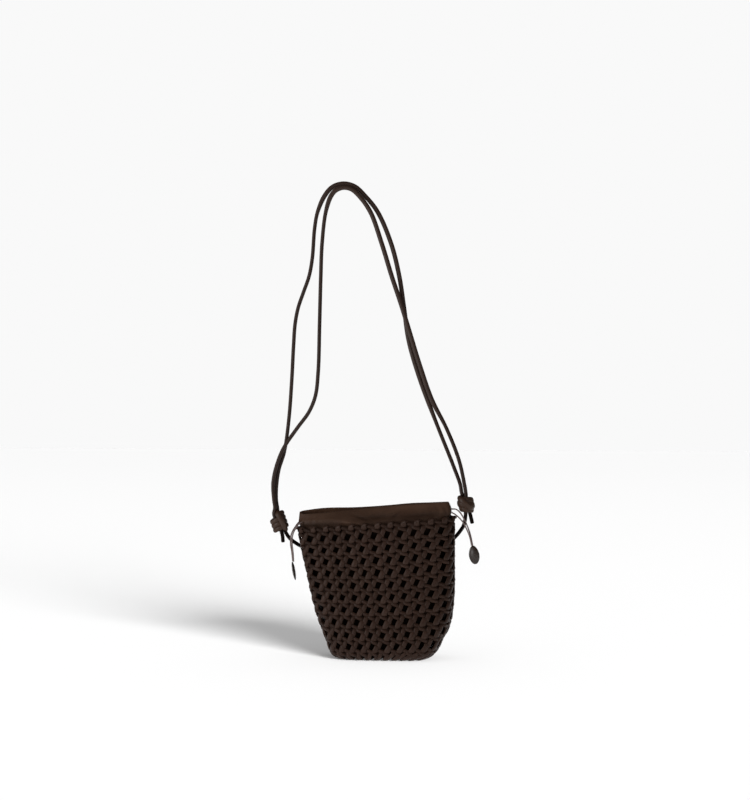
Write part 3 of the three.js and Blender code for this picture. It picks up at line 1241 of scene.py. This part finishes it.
    def ring_strips(self) -> bpy.types.Object:
        """The pairs that run round the bag."""
        tubes = Tubes(self.sides, self.square)
        columns = self.form.columns
        uprights = np.arange(self.uprights)
        for ring, height in enumerate(self.ring_heights):
            pitch = self._pitch_at(np.arange(columns) + 0.0, np.full(columns, height)).mean()
            column = np.linspace(0, columns, round(columns * pitch / self.step), endpoint=False)
            crossings = [self.columns_at(i, np.array([height]))[0] for i in uprights]
            places = np.mod(np.array(crossings), columns)
            reach = self.reach(uprights, np.array(ring))
            reach = np.where(reach > 0, reach - 2.0, reach + 2.0)
            out = eased_between(column, places, reach, columns, bend=self.ring_bend / pitch)
            hidden, share = places[reach < 0], self.return_half / pitch
            ends = np.mod(np.concatenate([hidden - share, hidden + share]), columns)
            lifts = np.repeat([-self.ring_lean, self.ring_lean], len(hidden))
            up = eased_between(column, ends, lifts, columns, self.straight)
            level = self.ring_levels(column, np.array(ring)) + self.rng.normal(0.0, self.wobble)
            points, outwards, _, upwards = self._middle(column, level)
            calm = self._calm(outwards)
            path = points + outwards * (out * calm * self.amplitude)[:, None]
            path = path + upwards * up[:, None]
            # Painted shade: each ring is painted darker overall, and darker still towards the bag's left
            # end.
            shade = self.left_painted_shade * ease((self.painted_shade_from - points[:, 0]) / self.painted_shade_width)
            tone = self._tone(out - self.ring_painted_shade) - shade
            tubes.add(path, outwards, self.ring_width, self.thick * calm, tone, closed=True)
        return tubes.build("weave_rings")

    def build(self) -> None:
        """Weaves and dresses the basket."""
        first_side, last = self.long_strips, self.uprights - 1
        pieces = (
            self.upright_strips("weave_uprights_long", 0, last - self.side_strips, True),
            self.upright_strips("weave_uprights_side", first_side, last, False),
            self.ring_strips(),
        )
        for piece in pieces:
            dress(piece, WEAVE_FINISH, Slot.WEAVE, "woven_body")


@dataclass(frozen=True)
class Fold:
    """A soft dent in the pouch's leather, or a swell where deep is below 0, with painted light and shade
    over it.

    Attributes:
        panel: The side of the pouch that it is in.
        across: How far to the right of the pouch's middle it is.
        height: How high it is.
        wide: Half its width.
        tall: Half its height.
        deep: How deep it is.
        tone: The painted light there, which is painted shade where it is below 0.
        slant: How far it climbs for each step to the right.
    """

    panel: Panel
    across: float
    height: float
    wide: float
    tall: float
    deep: float
    tone: float = 0.0
    slant: float = 0.0


@dataclass(frozen=True)
class RimWave:
    """A stretch where the pouch's rim rises or droops."""

    panel: Panel
    across: float
    wide: float
    lift: float


POUCH_SECTIONS = (
    Section(8.5, 1, 89, 26, 3.2, 0),
    Section(13, -6.5, 97, 30.5, 3.3, 0.01),
    Section(32, -17.5, 111, 30, 3.2, 0.034),
    Section(75, -32, 117, 23.5, 2.9, 0.05),
    Section(125, -43.8, 117, 16.4, 2.6, 0.07),
    Section(144, -47, 116.8, 16.9, 2.5, 0.076),
    Section(149.4, -47.8, 117.4, 17.2, 2.4, 0.078),
    Section(152, -49.6, 118.5, 17.3, 2.4, 0.078),
    Section(155, -50.6, 119, 16.6, 2.4, 0.077),
    Section(160, -50.2, 118.4, 14.2, 2.3, 0.076),
    Section(166, -49.6, 115.8, 10.6, 2.2, 0.075),
)


@dataclass
class Pouch:
    """The soft leather pouch inside the basket, gathered a little at its ends by its strings."""

    form: Form = field(default_factory=lambda: Form(POUCH_SECTIONS, 1))
    wall: float = 1.8
    floor: float = 8.5
    top: float = 166.0
    around: int = 260
    rim_wave_from: float = 154.5
    string_height: float = 157.3
    tunnel_swell: float = 0.3
    tunnel_half: float = 2.6
    gather_depth: float = 0.55
    gather_reach: float = 26.0
    gather_waves: float = 46.0
    gather_tall: float = 7.0
    panel_part: float = 3.0
    # Painted shade: the pouch is painted dark low down, behind the weave and inside, and fades to its
    # full tone higher up; the inside face is painted lighter to stand in for light on it.
    painted_shade_below: float = 138.0
    unshaded_above: float = 146.5
    lining_painted_light: float = 2.0
    lip: float = 0.5
    fine_from: float = 140.0
    fine_step: float = 0.9
    flat_width: float = 0.36
    flat_height: float = 0.19
    flat_area: float = 0.058
    low_levels: tuple[float, ...] = (13, 20, 26, 32, 45, 60, 75, 92, 110, 125, 134)
    # Painted light and shade: the folds' tones paint the leather lighter where it faces the light and
    # darker in its dents; folds with no depth are painted light and shade alone.
    folds: tuple[Fold, ...] = (
        Fold(Panel.FRONT, 4, 155, 27, 5, 2.6, -0.24),
        Fold(Panel.FRONT, -13, 155.5, 14, 2.2, 0.9, -0.16, -0.42),
        Fold(Panel.FRONT, 25, 156, 9, 2.6, 0.8, -0.16, 0.6),
        Fold(Panel.FRONT, -27, 151.5, 20, 3, -1.0, 0.3, -0.2),
        Fold(Panel.FRONT, 54, 153.5, 30, 4.5, 1.2, -0.26),
        Fold(Panel.FRONT, 46, 164, 60, 7, 0, 0.4),
        Fold(Panel.FRONT, 78, 159, 12, 12, 0, 0.2),
        Fold(Panel.FRONT, -66, 160, 26, 6, 0, 0.1),
        Fold(Panel.FRONT, -68, 151, 34, 4, 0, -0.3),
        Fold(Panel.BACK, -30, 157, 26, 7, 1.8),
        Fold(Panel.BACK, 22, 158, 24, 7, 2.2),
    )
    rim_waves: tuple[RimWave, ...] = (
        RimWave(Panel.FRONT, -66, 62, -2.6),
        RimWave(Panel.BACK, -56, 36, 2.0),
        RimWave(Panel.BACK, 40, 30, 0.8),
    )

    def _ring(self, height: float, inset: float) -> tuple[Array, Array]:
        """A ring of the pouch with its folds.

        Args:
            height: How high it is.
            inset: How far inside the outer skin it lies.

        Returns:
            The ring's points, and the painted light and shade that its folds give each.
        """
        level = self.form.level(height)
        shares = np.arange(self.around) / self.around
        ring = self.form.ring(level, shares, inset)
        depth = level[3]
        across = ring[:, 0] - (level[1] + level[2]) / 2
        on_panel = np.minimum(1.0, np.abs(ring[:, 1]) / (depth / self.panel_part))
        dent, lift, tone = np.zeros((3, self.around))
        near_rim = max(0.0, (height - self.rim_wave_from) / (self.top - self.rim_wave_from))
        for panel in Panel:
            here = np.sign(ring[:, 1]) == panel.value
            for fold in (f for f in self.folds if f.panel is panel):
                middle = fold.height + fold.slant * (across - fold.across)
                shape = bump(across - fold.across, fold.wide) * bump(height - middle, fold.tall)
                dent += np.where(here, fold.deep * shape, 0.0)
                tone += np.where(here, fold.tone * shape, 0.0)
            for wave in (w for w in self.rim_waves if w.panel is panel):
                shape = bump(across - wave.across, wave.wide) * near_rim
                lift += np.where(here, wave.lift * shape, 0.0)
        dent -= self.tunnel_swell * bump(height - self.string_height, self.tunnel_half)
        half = (level[2] - level[1]) / 2
        ends = bump(np.maximum(0.0, half - np.abs(across)), self.gather_reach)
        pleats = np.sin(shares * 2 * math.pi * self.gather_waves) * ends
        pleats *= bump(height - self.string_height, self.gather_tall)
        dent += pleats * self.gather_depth
        ring[:, 1] -= np.sign(ring[:, 1]) * dent * on_panel
        ring[:, 2] += lift * on_panel
        return ring, tone

    def _tone(self, height: float, inset: float) -> float:
        """How light the leather is: full on the outside above the weave, painted lighter on the inside
        face there to stand in for light, and painted shade lower down, behind the weave and inside.

        Args:
            height: The place's height.
            inset: How far inside the outer skin it lies.

        Returns:
            The tone, from 0 to 1.
        """
        out_of_shade = float(ease(np.array((height - self.painted_shade_below) / (self.unshaded_above - self.painted_shade_below))))
        return 0.5 * out_of_shade * (self.lining_painted_light if inset >= self.wall else 1.0)

    def build(self) -> None:
        """Lofts and dresses the pouch."""
        high = np.arange(self.fine_from, self.top - self.lip, self.fine_step)
        heights = [self.floor, *self.low_levels, *high.tolist()]
        levels = [(h, 0.0) for h in heights]
        levels += [(self.top - self.lip / 2, 0.0)]
        levels += [(self.top, self.lip), (self.top, self.wall - self.lip)]
        levels += [(h, self.wall) for h in reversed(heights[1:])]
        levels += [(self.floor + self.wall, self.wall)]
        rings, fold_light_and_shade = zip(*(self._ring(height, inset) for height, inset in levels))
        count, n = len(rings), self.around
        facing_out = [0, 3, 2, 1]
        faces = ring_quads(count, n, closed=False)[:, facing_out].tolist()
        faces.append(np.arange(n)[::-1].tolist())
        faces.append(((count - 1) * n + np.arange(n)).tolist())
        pouch = mesh_object("soft_pouch", np.vstack(rings), faces)
        outside = [float(inset < self.wall / 2) for _, inset in levels]
        # The folds' painted light and shade go on the outside skin only.
        tones = [self._tone(*level) + o * f for level, o, f in zip(levels, outside, fold_light_and_shade)]
        set_tone(pouch, tones)
        dress(pouch, POUCH_FINISH, Slot.POUCH, "leather_pouch")


@dataclass(frozen=True)
class Knot:
    """A wrapped sliding knot: turns of cord, slanted across the knot's axis.

    Attributes:
        name: The piece's name.
        node: The CAD node that it stands for.
        top: X and Z of the axis's upper end.
        bottom: X and Z of its lower end.
        across: How far the turns reach to each side.
        deep: How far they reach to the front and the back.
        turns: How many there are.
        pitch: How far apart they are.
        slant: How far they climb across the knot.
        turn_width: How wide the flattened cord of the turns is.
        barrel: How much smaller its end turns are than its middle ones.
        band: The cord that crosses over the turns: places across, along and out from the middle.
    """

    name: str
    node: str
    top: Span
    bottom: Span
    across: float
    deep: float
    turns: float
    pitch: float
    slant: float
    turn_width: float
    barrel: float
    band: tuple[Point, ...]

    SIDES = 16
    SQUARE = 2.3
    STEPS_PER_TURN = 40
    TURN_THICK = 1.02
    BAND_STEPS = 12
    BAND_WIDTH = 6.2
    BAND_THICK = 3.4

    def build(self, diameter: float) -> bpy.types.Object:
        """Winds and dresses the knot.

        Args:
            diameter: How thick the cord is.

        Returns:
            The knot.
        """
        head, foot = (np.array([end[0], 0.0, end[1]]) for end in (self.top, self.bottom))
        axis = unit(head - foot)
        side = np.array([axis[2], 0.0, -axis[0]])
        share = np.linspace(0.0, 1.0, round(self.turns * self.STEPS_PER_TURN))
        angle = share * self.turns * 2 * math.pi
        swell = 1.0 - self.barrel * (2.0 * share - 1.0) ** 2
        across = self.across * swell * np.cos(angle)
        along = (share - 0.5) * self.turns * self.pitch + self.slant * across
        middle = (head + foot) / 2
        path = middle + along[:, None] * axis + across[:, None] * side
        path[:, 1] -= self.deep * swell * np.sin(angle)
        facing = path - middle - ((path - middle) @ axis)[:, None] * axis
        tubes = Tubes(self.SIDES, self.SQUARE)
        tubes.add(path, facing, self.turn_width, diameter * self.TURN_THICK)
        out = np.array([0.0, -1.0, 0.0])
        band = middle + smooth_route(self.band, self.BAND_STEPS) @ np.array([side, axis, out])
        tubes.add(band, np.tile(out, (len(band), 1)), self.BAND_WIDTH, self.BAND_THICK)
        knot = tubes.build(self.name)
        dress(knot, KNOT_FINISH, Slot.STRAP, self.node)
        return knot


STRAP_LEFT_ROUTE: tuple[Point, ...] = (
    (-34, 16.35, -397.4), (-36.6, 17.6, -397.5), (-40.4, 19.6, -397.3), (-50.6, 16, -394.4),
    (-57.2, 9, -389.4), (-61.6, 3.6, -384.6), (-65, 0, -378.4), (-70.7, 0, -366.2),
    (-73.7, 0.5, -357.6), (-74.9, 2.05, -350.6), (-76.2, 2.2, -342), (-75.7, 2.2, -325),
    (-73.1, 2.2, -308.5), (-67.1, 2.2, -289.3), (-62, 2.2, -253.8), (-58.6, 2.2, -209),
    (-56.6, 2.2, -171), (-54.9, 2.2, -147.8), (-51.5, 2.2, -130.1), (-45.4, 2.2, -112.5),
    (-39.2, 2.2, -94.9), (-35.6, 2.2, -75), (-33, 2.2, -42.1), (-29.7, 2.2, -24.5),
    (-22, 2.2, -6.9), (-13.2, 2.2, 3), (-1.1, 2.2, 6.6), (11.6, 2.2, 3.4),
    (23.3, 2.2, -7.4), (37.1, 2.2, -25), (52.1, 2.2, -60.2), (60.9, 2.2, -95.4),
    (66.2, 2.2, -130.5), (71.3, 2.2, -165.6), (81.9, 2.2, -202.9), (100.6, 2.2, -253.3),
    (121.6, 2.2, -305.9), (128.3, 1.4, -324), (130.2, 0.6, -333.9), (133, 2.2, -339.6),
    (134.65, 2.8, -344.8), (136.9, 2.2, -350.2), (139.2, 0.4, -356), (141.6, 0, -366),
)
STRAP_RIGHT_ROUTE: tuple[Point, ...] = (
    (109.4, 16.35, -387.4), (111.9, 17.6, -387.3), (115.6, 19.5, -386.9), (118.8, 19.6, -385.2),
    (122.8, 16.4, -381.4), (127.6, 10, -375.6), (132.2, 3.6, -368.2), (134.4, -0.4, -357.4),
    (134.4, -2.2, -350.2), (134.65, -2.8, -344.8), (135, -2.2, -339.6), (134.6, -0.6, -333.1),
    (133.2, -1.2, -324), (127.2, -2.2, -297.1), (113.3, -2.2, -262), (97.5, -2.2, -231.4),
    (83.6, -2.2, -191.9), (72.8, -2.2, -156.8), (63.7, -2.2, -127.2), (53, -2.2, -95.3),
    (42.2, -2.2, -60.2), (29.5, -2.2, -25), (16.4, -2.2, -6.6), (8.4, -2.2, 0.2),
    (0, -2.2, 2), (-8.2, -2.2, -0.6), (-14, -2.2, -7), (-19.9, -2.2, -24.5),
    (-24.1, -2.2, -59.7), (-25.5, -2.2, -94.9), (-26.9, -2.2, -147.8), (-28.5, -2.2, -200.8),
    (-31.6, -2.2, -227.2), (-38.8, -2.2, -244.9), (-51.8, -2.2, -262.6), (-67.6, -2.4, -285.9),
    (-76.2, -2.2, -308.5), (-79, -2.2, -325), (-78, -2.2, -342), (-76.9, -2.05, -351),
    (-78.3, -0.5, -358), (-74.7, 0, -367.7), (-69.2, 0, -379.9), (-68.2, 0, -388.6),
)


@dataclass(frozen=True)
class Cord:
    """A free cord from where it leaves the bag to its far end.

    Attributes:
        name: The piece's name.
        node: The CAD node that it stands for.
        route: Its points.
        length: How long it is, in metres; not used.
        diameter: How thick it is.
        far_end: What it ends in; not used.
    """

    name: str
    node: str
    route: tuple[Point, ...]
    length: float
    diameter: float
    far_end: FarEnd

    SIDES = 14
    ROUTE_STEPS = 10
    STEP_LENGTH = 1.6
    # Painted shade: the cord is painted dark along its lead from the bag and along its tail, and fades
    # to its full tone over a short stretch.
    PAINTED_SHADE_LEAD = 47.0
    PAINTED_SHADE_TAIL = 9.0
    FADE = 8.0
    FALL_RIGHT_OF = (12.0, 27.0)
    FALL_ABOVE = (-262.0, -232.0)
    TOP_ABOVE = (-32.0, -7.0)
    FLATTER = 0.27
    # Painted highlight: the cord is painted lighter where it lies flat.
    PAINTED_HIGHLIGHT = 0.12

    def build(self, finish: Finish, slot: Slot, on_it: list[bpy.types.Object]) -> None:
        """Args:
            finish: What it is made of.
            slot: The record's slot for its finish, passed on to dress.
            on_it: The pieces at its far end; not used.
        """
        path = smooth_route(self.route, self.ROUTE_STEPS)
        along = lengths_along(path)
        even = np.linspace(0.0, along[-1], round(along[-1] / self.STEP_LENGTH))
        path = np.column_stack([np.interp(even, along, path[:, k]) for k in range(3)])
        tubes = Tubes(self.SIDES)
        # Painted shade on the lead and the tail.
        out_of_shade = np.minimum(even - self.PAINTED_SHADE_LEAD, even[-1] - even - self.PAINTED_SHADE_TAIL)
        flat = self._flatness(path)
        width = self.diameter * (1.0 + self.FLATTER * flat)
        # A painted highlight where the cord lies flat, over the painted shade at its ends.
        tone = 0.5 * ease(out_of_shade / self.FADE) + self.PAINTED_HIGHLIGHT * flat
        tubes.add(path, self._facing(path), width, self.diameter, tone)
        cord = tubes.build(self.name)
        dress(cord, finish, slot, self.node)
        LOG.info("%s is %.3f m long", self.name, along[-1] * MM)

    def _flatness(self, path: Array) -> Array:
        """How flat the cord lies, from 0 to 1: in its top bend and along its right-hand fall."""
        right, above, top = (
            ease((path[:, axis] - low) / (high - low))
            for axis, (low, high) in ((0, self.FALL_RIGHT_OF), (2, self.FALL_ABOVE), (2, self.TOP_ABOVE))
        )
        return np.maximum(right * above, top)

    @staticmethod
    def _facing(path: Array) -> Array:
        """A direction across a path that doesn't twist along it."""
        along = unit(np.gradient(path, axis=0))
        facing = [np.array([0.0, -1.0, 0.0])]
        for direction in along[1:]:
            last = facing[-1]
            facing.append(unit(last - (last @ direction) * direction))
        return np.array(facing)


@dataclass
class Strap:
    """The strap: two leather cords, each of which slides in the other's knot."""

    diameter: float = 4.2
    cord_length: float = 0.86
    knots: tuple[Knot, Knot] = (
        Knot(
            "knot_left", "strap_knot_left", (-77.4, -354.3), (-68.2, -379.3),
            across=7.3, deep=5.1, turns=3.2, pitch=4.8, slant=0.25, turn_width=5.4, barrel=0.0,
            band=((1.6, 11.0, 0.6), (2.6, 9.0, 4.8), (4.2, 3.0, 6.6), (5.0, -4.0, 6.4),
                  (4.8, -8.6, 4.4), (4.0, -10.2, 0.6)),
        ),
        Knot(
            "knot_right", "strap_knot_right", (132.3, -333.5), (137.0, -356.0),
            across=7.4, deep=7.2, turns=2.8, pitch=4.8, slant=-0.12, turn_width=7.8, barrel=0.3,
            band=((-5.6, 7.6, 2.0), (-4.6, 6.8, 6.2), (-1.4, 3.2, 9.0), (2.6, -2.2, 9.0),
                  (5.4, -5.4, 6.2), (6.4, -6.4, 2.0)),
        ),
    )

    def build(self) -> None:
        """Makes the knots and the cords that end in them."""
        left, right = (knot.build(self.diameter) for knot in self.knots)
        cords = (
            ("strap_left", "strap_cord_left", STRAP_LEFT_ROUTE, right),
            ("strap_right", "strap_cord_right", STRAP_RIGHT_ROUTE, left),
        )
        for name, node, route, knot in cords:
            cord = Cord(name, node, route, self.cord_length, self.diameter, FarEnd.KNOT)
            cord.build(CORD_FINISH, Slot.STRAP, [knot])


@dataclass(frozen=True)
class Tab:
    """A flat domed leather tab, narrower at its upper end.

    Attributes:
        name: The piece's name.
        node: The CAD node that it stands for.
        middle: Where its middle is.
        lean: How far it leans in the front view, in degrees.
        turn: How far it is turned about its length, in degrees.
    """

    name: str
    node: str
    middle: Point
    lean: float
    turn: float

    ACROSS = 11.6
    TALL = 20.6
    THICK = 3.4
    NARROW = 0.86
    SEGMENTS = 40
    RINGS = 28

    def build(self) -> bpy.types.Object:
        """Shapes and dresses the tab.

        Returns:
            The tab.
        """
        bpy.ops.object.select_all(action="DESELECT")
        sphere = {"segments": self.SEGMENTS, "ring_count": self.RINGS, "radius": 0.5}
        bpy.ops.mesh.primitive_uv_sphere_add(**sphere)
        tab = bpy.context.object
        tab.name = tab.data.name = self.name
        bpy.ops.object.mode_set(mode="EDIT")
        bpy.ops.mesh.select_all(action="SELECT")
        bpy.ops.transform.resize(value=(self.ACROSS * MM, self.THICK * MM, self.TALL * MM))
        bpy.ops.mesh.select_all(action="DESELECT")
        bpy.ops.object.mode_set(mode="OBJECT")
        for corner in tab.data.vertices:
            upper = max(0.0, corner.co.z / (self.TALL * MM / 2))
            corner.co.x *= 1.0 - (1.0 - self.NARROW) * upper
        turn = Matrix.Rotation(math.radians(-self.lean), 4, "Y")
        turn = turn @ Matrix.Rotation(math.radians(self.turn), 4, "Z")
        tab.data.transform(Matrix.Translation(Vector(self.middle) * MM) @ turn)
        bpy.ops.object.shade_smooth()
        dress(tab, TAB_FINISH, Slot.TAB, self.node)
        return tab


@dataclass
class Pulls:
    """The drawstrings at the pouch's ends, and the tabs that they end in."""

    diameter: float = 1.5
    tabs: tuple[Tab, Tab] = (
        Tab("tab_right_leather", "tab_right", (144.0, -3.0, -400.7), 9.0, 3.0),
        Tab("tab_left_leather", "tab_left", (-54.6, -9.6, -419.8), 10.0, 94.0),
    )
    right_front: tuple[Point, ...] = (
        (119.2, -2.4, -350.6), (124.4, -4.6, -350.9), (129.5, -8, -354.8), (133.6, -9.4, -361.5),
        (137.4, -8.6, -369.8), (140.2, -6.6, -378.7), (141.7, -4.6, -386.3), (142.4, -3.5, -390.3),
    )
    right_back: tuple[Point, ...] = (
        (119.6, -4.4, -354.4), (122.8, -7, -355.8), (127.7, -9.6, -359.4), (132, -11.2, -363.8),
        (136, -10.6, -371.2), (139.1, -8.4, -379.2), (140.7, -6, -386.3), (141.3, -4.4, -390.3),
    )
    left_front: tuple[Point, ...] = (
        (-48.9, -6.2, -365.8), (-51, -8.6, -368.2), (-53.6, -9.6, -372.2), (-56.6, -10, -377.4),
        (-58, -10.4, -383.6), (-57.9, -10.4, -391.4), (-56.8, -9.8, -398.8), (-56.2, -9.4, -405),
        (-55.9, -9.2, -409.1),
    )
    left_back: tuple[Point, ...] = (
        (-45.6, -9.6, -366), (-49, -11.6, -368.2), (-51.8, -12.2, -372.4), (-54.7, -12.2, -377.8),
        (-56, -12.4, -384), (-56, -12.4, -391.4), (-55.2, -11.8, -398.8), (-54.8, -11.4, -405),
        (-54.6, -11.2, -409.4),
    )

    def build(self) -> None:
        """Makes the tabs and the strings that end in them."""
        right, left = (tab.build() for tab in self.tabs)
        strings = (
            ("string_right_front", "drawstring_right_front", self.right_front, 0.052, right),
            ("string_right_back", "drawstring_right_back", self.right_back, 0.048, right),
            ("string_left_front", "drawstring_left_front", self.left_front, 0.05, left),
            ("string_left_back", "drawstring_left_back", self.left_back, 0.05, left),
        )
        for name, node, route, length, tab in strings:
            cord = Cord(name, node, route, length, self.diameter, FarEnd.FITTING)
            cord.build(STRING_FINISH, Slot.STRING, [tab])


def light_group(name: str, pieces: tuple[str, ...], lit: Lit) -> bpy.types.Collection:
    """A group of pieces that a lamp is for, or that it leaves out.

    Args:
        name: The group's name.
        pieces: The pieces' names.
        lit: Whether the lamp lights only them or only the rest.

    Returns:
        The group.
    """
    group = bpy.data.collections.new(name)
    for piece in pieces:
        group.objects.link(bpy.data.objects[piece])
    for member in group.collection_objects:
        member.light_linking.link_state = lit.value
    return group


@dataclass(frozen=True)
class Lamp:
    """A soft lamp that faces the bag.

    Attributes:
        name: Its name.
        place: Where it stands, in metres.
        size: How wide and tall it is, in metres.
        power: How strong it is, in watts.
        only: The pieces that it is for, or none where it lights all but the floor.
    """

    name: str
    place: Point
    size: Span
    power: float
    only: tuple[str, ...] = ()

    AIM = (0.04, 0.0, -0.43)

    def build(self) -> None:
        """Adds the lamp."""
        lamp = bpy.data.lights.new(self.name, "AREA")
        lamp.shape, lamp.energy = "ELLIPSE", self.power
        lamp.size, lamp.size_y = self.size
        obj = linked(self.name, lamp)
        obj.location = self.place
        lit = Lit.ONLY if self.only else Lit.REST
        group = light_group(self.name, self.only or ("floor",), lit)
        obj.light_linking.receiver_collection = group
        aim = Vector(self.AIM) - Vector(self.place)
        obj.rotation_euler = aim.to_track_quat("-Z", "Y").to_euler()


@dataclass
class Studio:
    """The camera, the pale floor and the soft light round the bag."""

    target: Point = (34.35, 0.07, -231.52)
    azimuth: float = 7.0
    elevation: float = 1.0
    distance: float = 2400.0
    lens: float = 98.18
    sky: float = 0.36
    mirrored_sky: float = 0.1
    backdrop: float = 0.947
    sun_strength: float = 8.9
    floor_fill: float = 0.42
    floor_far: float = 0.834
    floor_near: float = 0.872
    fade_from: float = 4.3
    sun_height: float = 14.0
    sun_side: float = 26.0
    sun_softness: float = 24.0
    floor_back: float = 5.65
    floor_reach: float = 6.0
    floor_roughness: float = 0.9
    floor_specular: float = 0.1
    sensor_width: float = 36.0
    clip: Span = (0.05, 50.0)
    lamps: tuple[Lamp, ...] = (
        Lamp("front_softbox", (-1.85, -1.4, 0.05), (0.9, 1.9), 33.0),
        Lamp(
            "tab_glint", (-0.34, -2.15, -0.25), (0.3, 0.5), 5.6,
            only=("tab_left_leather", "tab_right_leather"),
        ),
    )

    def place_camera(self) -> None:
        """Adds the camera, a little to the right of the bag's front."""
        a, e = math.radians(self.azimuth), math.radians(self.elevation)
        back = Vector((math.sin(a) * math.cos(e), -math.cos(a) * math.cos(e), math.sin(e)))
        camera = linked("camera", bpy.data.cameras.new("camera"))
        camera.location = (Vector(self.target) + back * self.distance) * MM
        camera.rotation_euler = (-back).to_track_quat("-Z", "Y").to_euler()
        camera.data.lens = self.lens
        camera.data.sensor_width = self.sensor_width
        camera.data.clip_start, camera.data.clip_end = self.clip
        bpy.context.scene.camera = camera

    def lay_floor(self) -> None:
        """Adds the pale floor that the bag stands on."""
        bpy.ops.object.select_all(action="DESELECT")
        bpy.ops.mesh.primitive_plane_add(size=2.0)
        floor = bpy.context.object
        floor.name = floor.data.name = "floor"
        half_depth = (self.floor_back + self.floor_reach) / 2
        size = Matrix.Diagonal((self.floor_reach, half_depth, 1.0, 1.0))
        middle = Vector((0.0, self.floor_back - half_depth, BASE_LEVEL * MM))
        floor.data.transform(Matrix.Translation(middle) @ size)
        paint = bpy.data.materials.new("pale_floor")
        graph = Graph(paint)
        place = graph.add("ShaderNodeTexCoord").outputs["Object"]
        place = graph.add("ShaderNodeSeparateXYZ", {"Vector": place}).outputs["Y"]
        # Painted light: the floor's colour grows a little lighter towards the front.
        shade = graph.spread(place, (self.fade_from, 0.0), (self.floor_far, self.floor_near))
        inputs = {"Base Color": shade, "Roughness": self.floor_roughness}
        inputs["Specular IOR Level"] = self.floor_specular
        graph.fill(graph.nodes["Principled BSDF"], inputs)
        floor.data.materials.append(paint)

    def light(self) -> None:
        """Adds a pale sky, the lights for the floor and the bag's lamps."""
        world = bpy.data.worlds.new("studio")
        bpy.context.scene.world = world
        graph = Graph(world)
        sky = graph.nodes["Background"]
        graph.fill(sky, {"Color": WHITE, "Strength": self.sky})
        glow = sky.outputs["Background"]
        rays = graph.add("ShaderNodeLightPath").outputs
        for ray, strength in (("Is Glossy Ray", self.mirrored_sky), ("Is Camera Ray", self.backdrop)):
            other = graph.add("ShaderNodeBackground", {"Color": WHITE, "Strength": strength})
            inputs = {"Fac": rays[ray], 1: glow, 2: other.outputs["Background"]}
            glow = graph.add("ShaderNodeMixShader", inputs).outputs["Shader"]
        graph.fill(graph.nodes["World Output"], {"Surface": glow})
        self._floor_light()
        for lamp in self.lamps:
            lamp.build()
        bpy.context.scene.view_settings.view_transform = "Standard"

    def _floor_light(self) -> None:
        """Adds a low wide light from the front right and an even one, for the floor alone."""
        side = math.radians(self.sun_side + self.azimuth)
        height = math.radians(self.sun_height)
        low = Vector((-math.sin(side), math.cos(side), -math.tan(height)))
        suns = (
            ("floor_light", low, self.sun_strength, True),
            ("floor_fill", Vector((0.0, 0.0, -1.0)), self.floor_fill, False),
        )
        for name, travel, strength, casts in suns:
            sun = bpy.data.lights.new(name, "SUN")
            sun.energy, sun.angle = strength, math.radians(self.sun_softness)
            sun.use_shadow = casts
            obj = linked(name, sun)
            obj.rotation_euler = travel.to_track_quat("-Z", "Y").to_euler()
            obj.light_linking.receiver_collection = light_group(name, ("floor",), Lit.ONLY)


def main() -> None:
    """Builds the bag's pieces in order on the CAD frame."""
    logging.basicConfig(level=logging.INFO, format="%(name)s: %(message)s")
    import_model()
    studio = Studio()
    studio.place_camera()
    Strap().build()
    Pulls().build()
    Basket().build()
    Pouch().build()
    studio.lay_floor()
    studio.light()


if __name__ == "__main__":
    main()
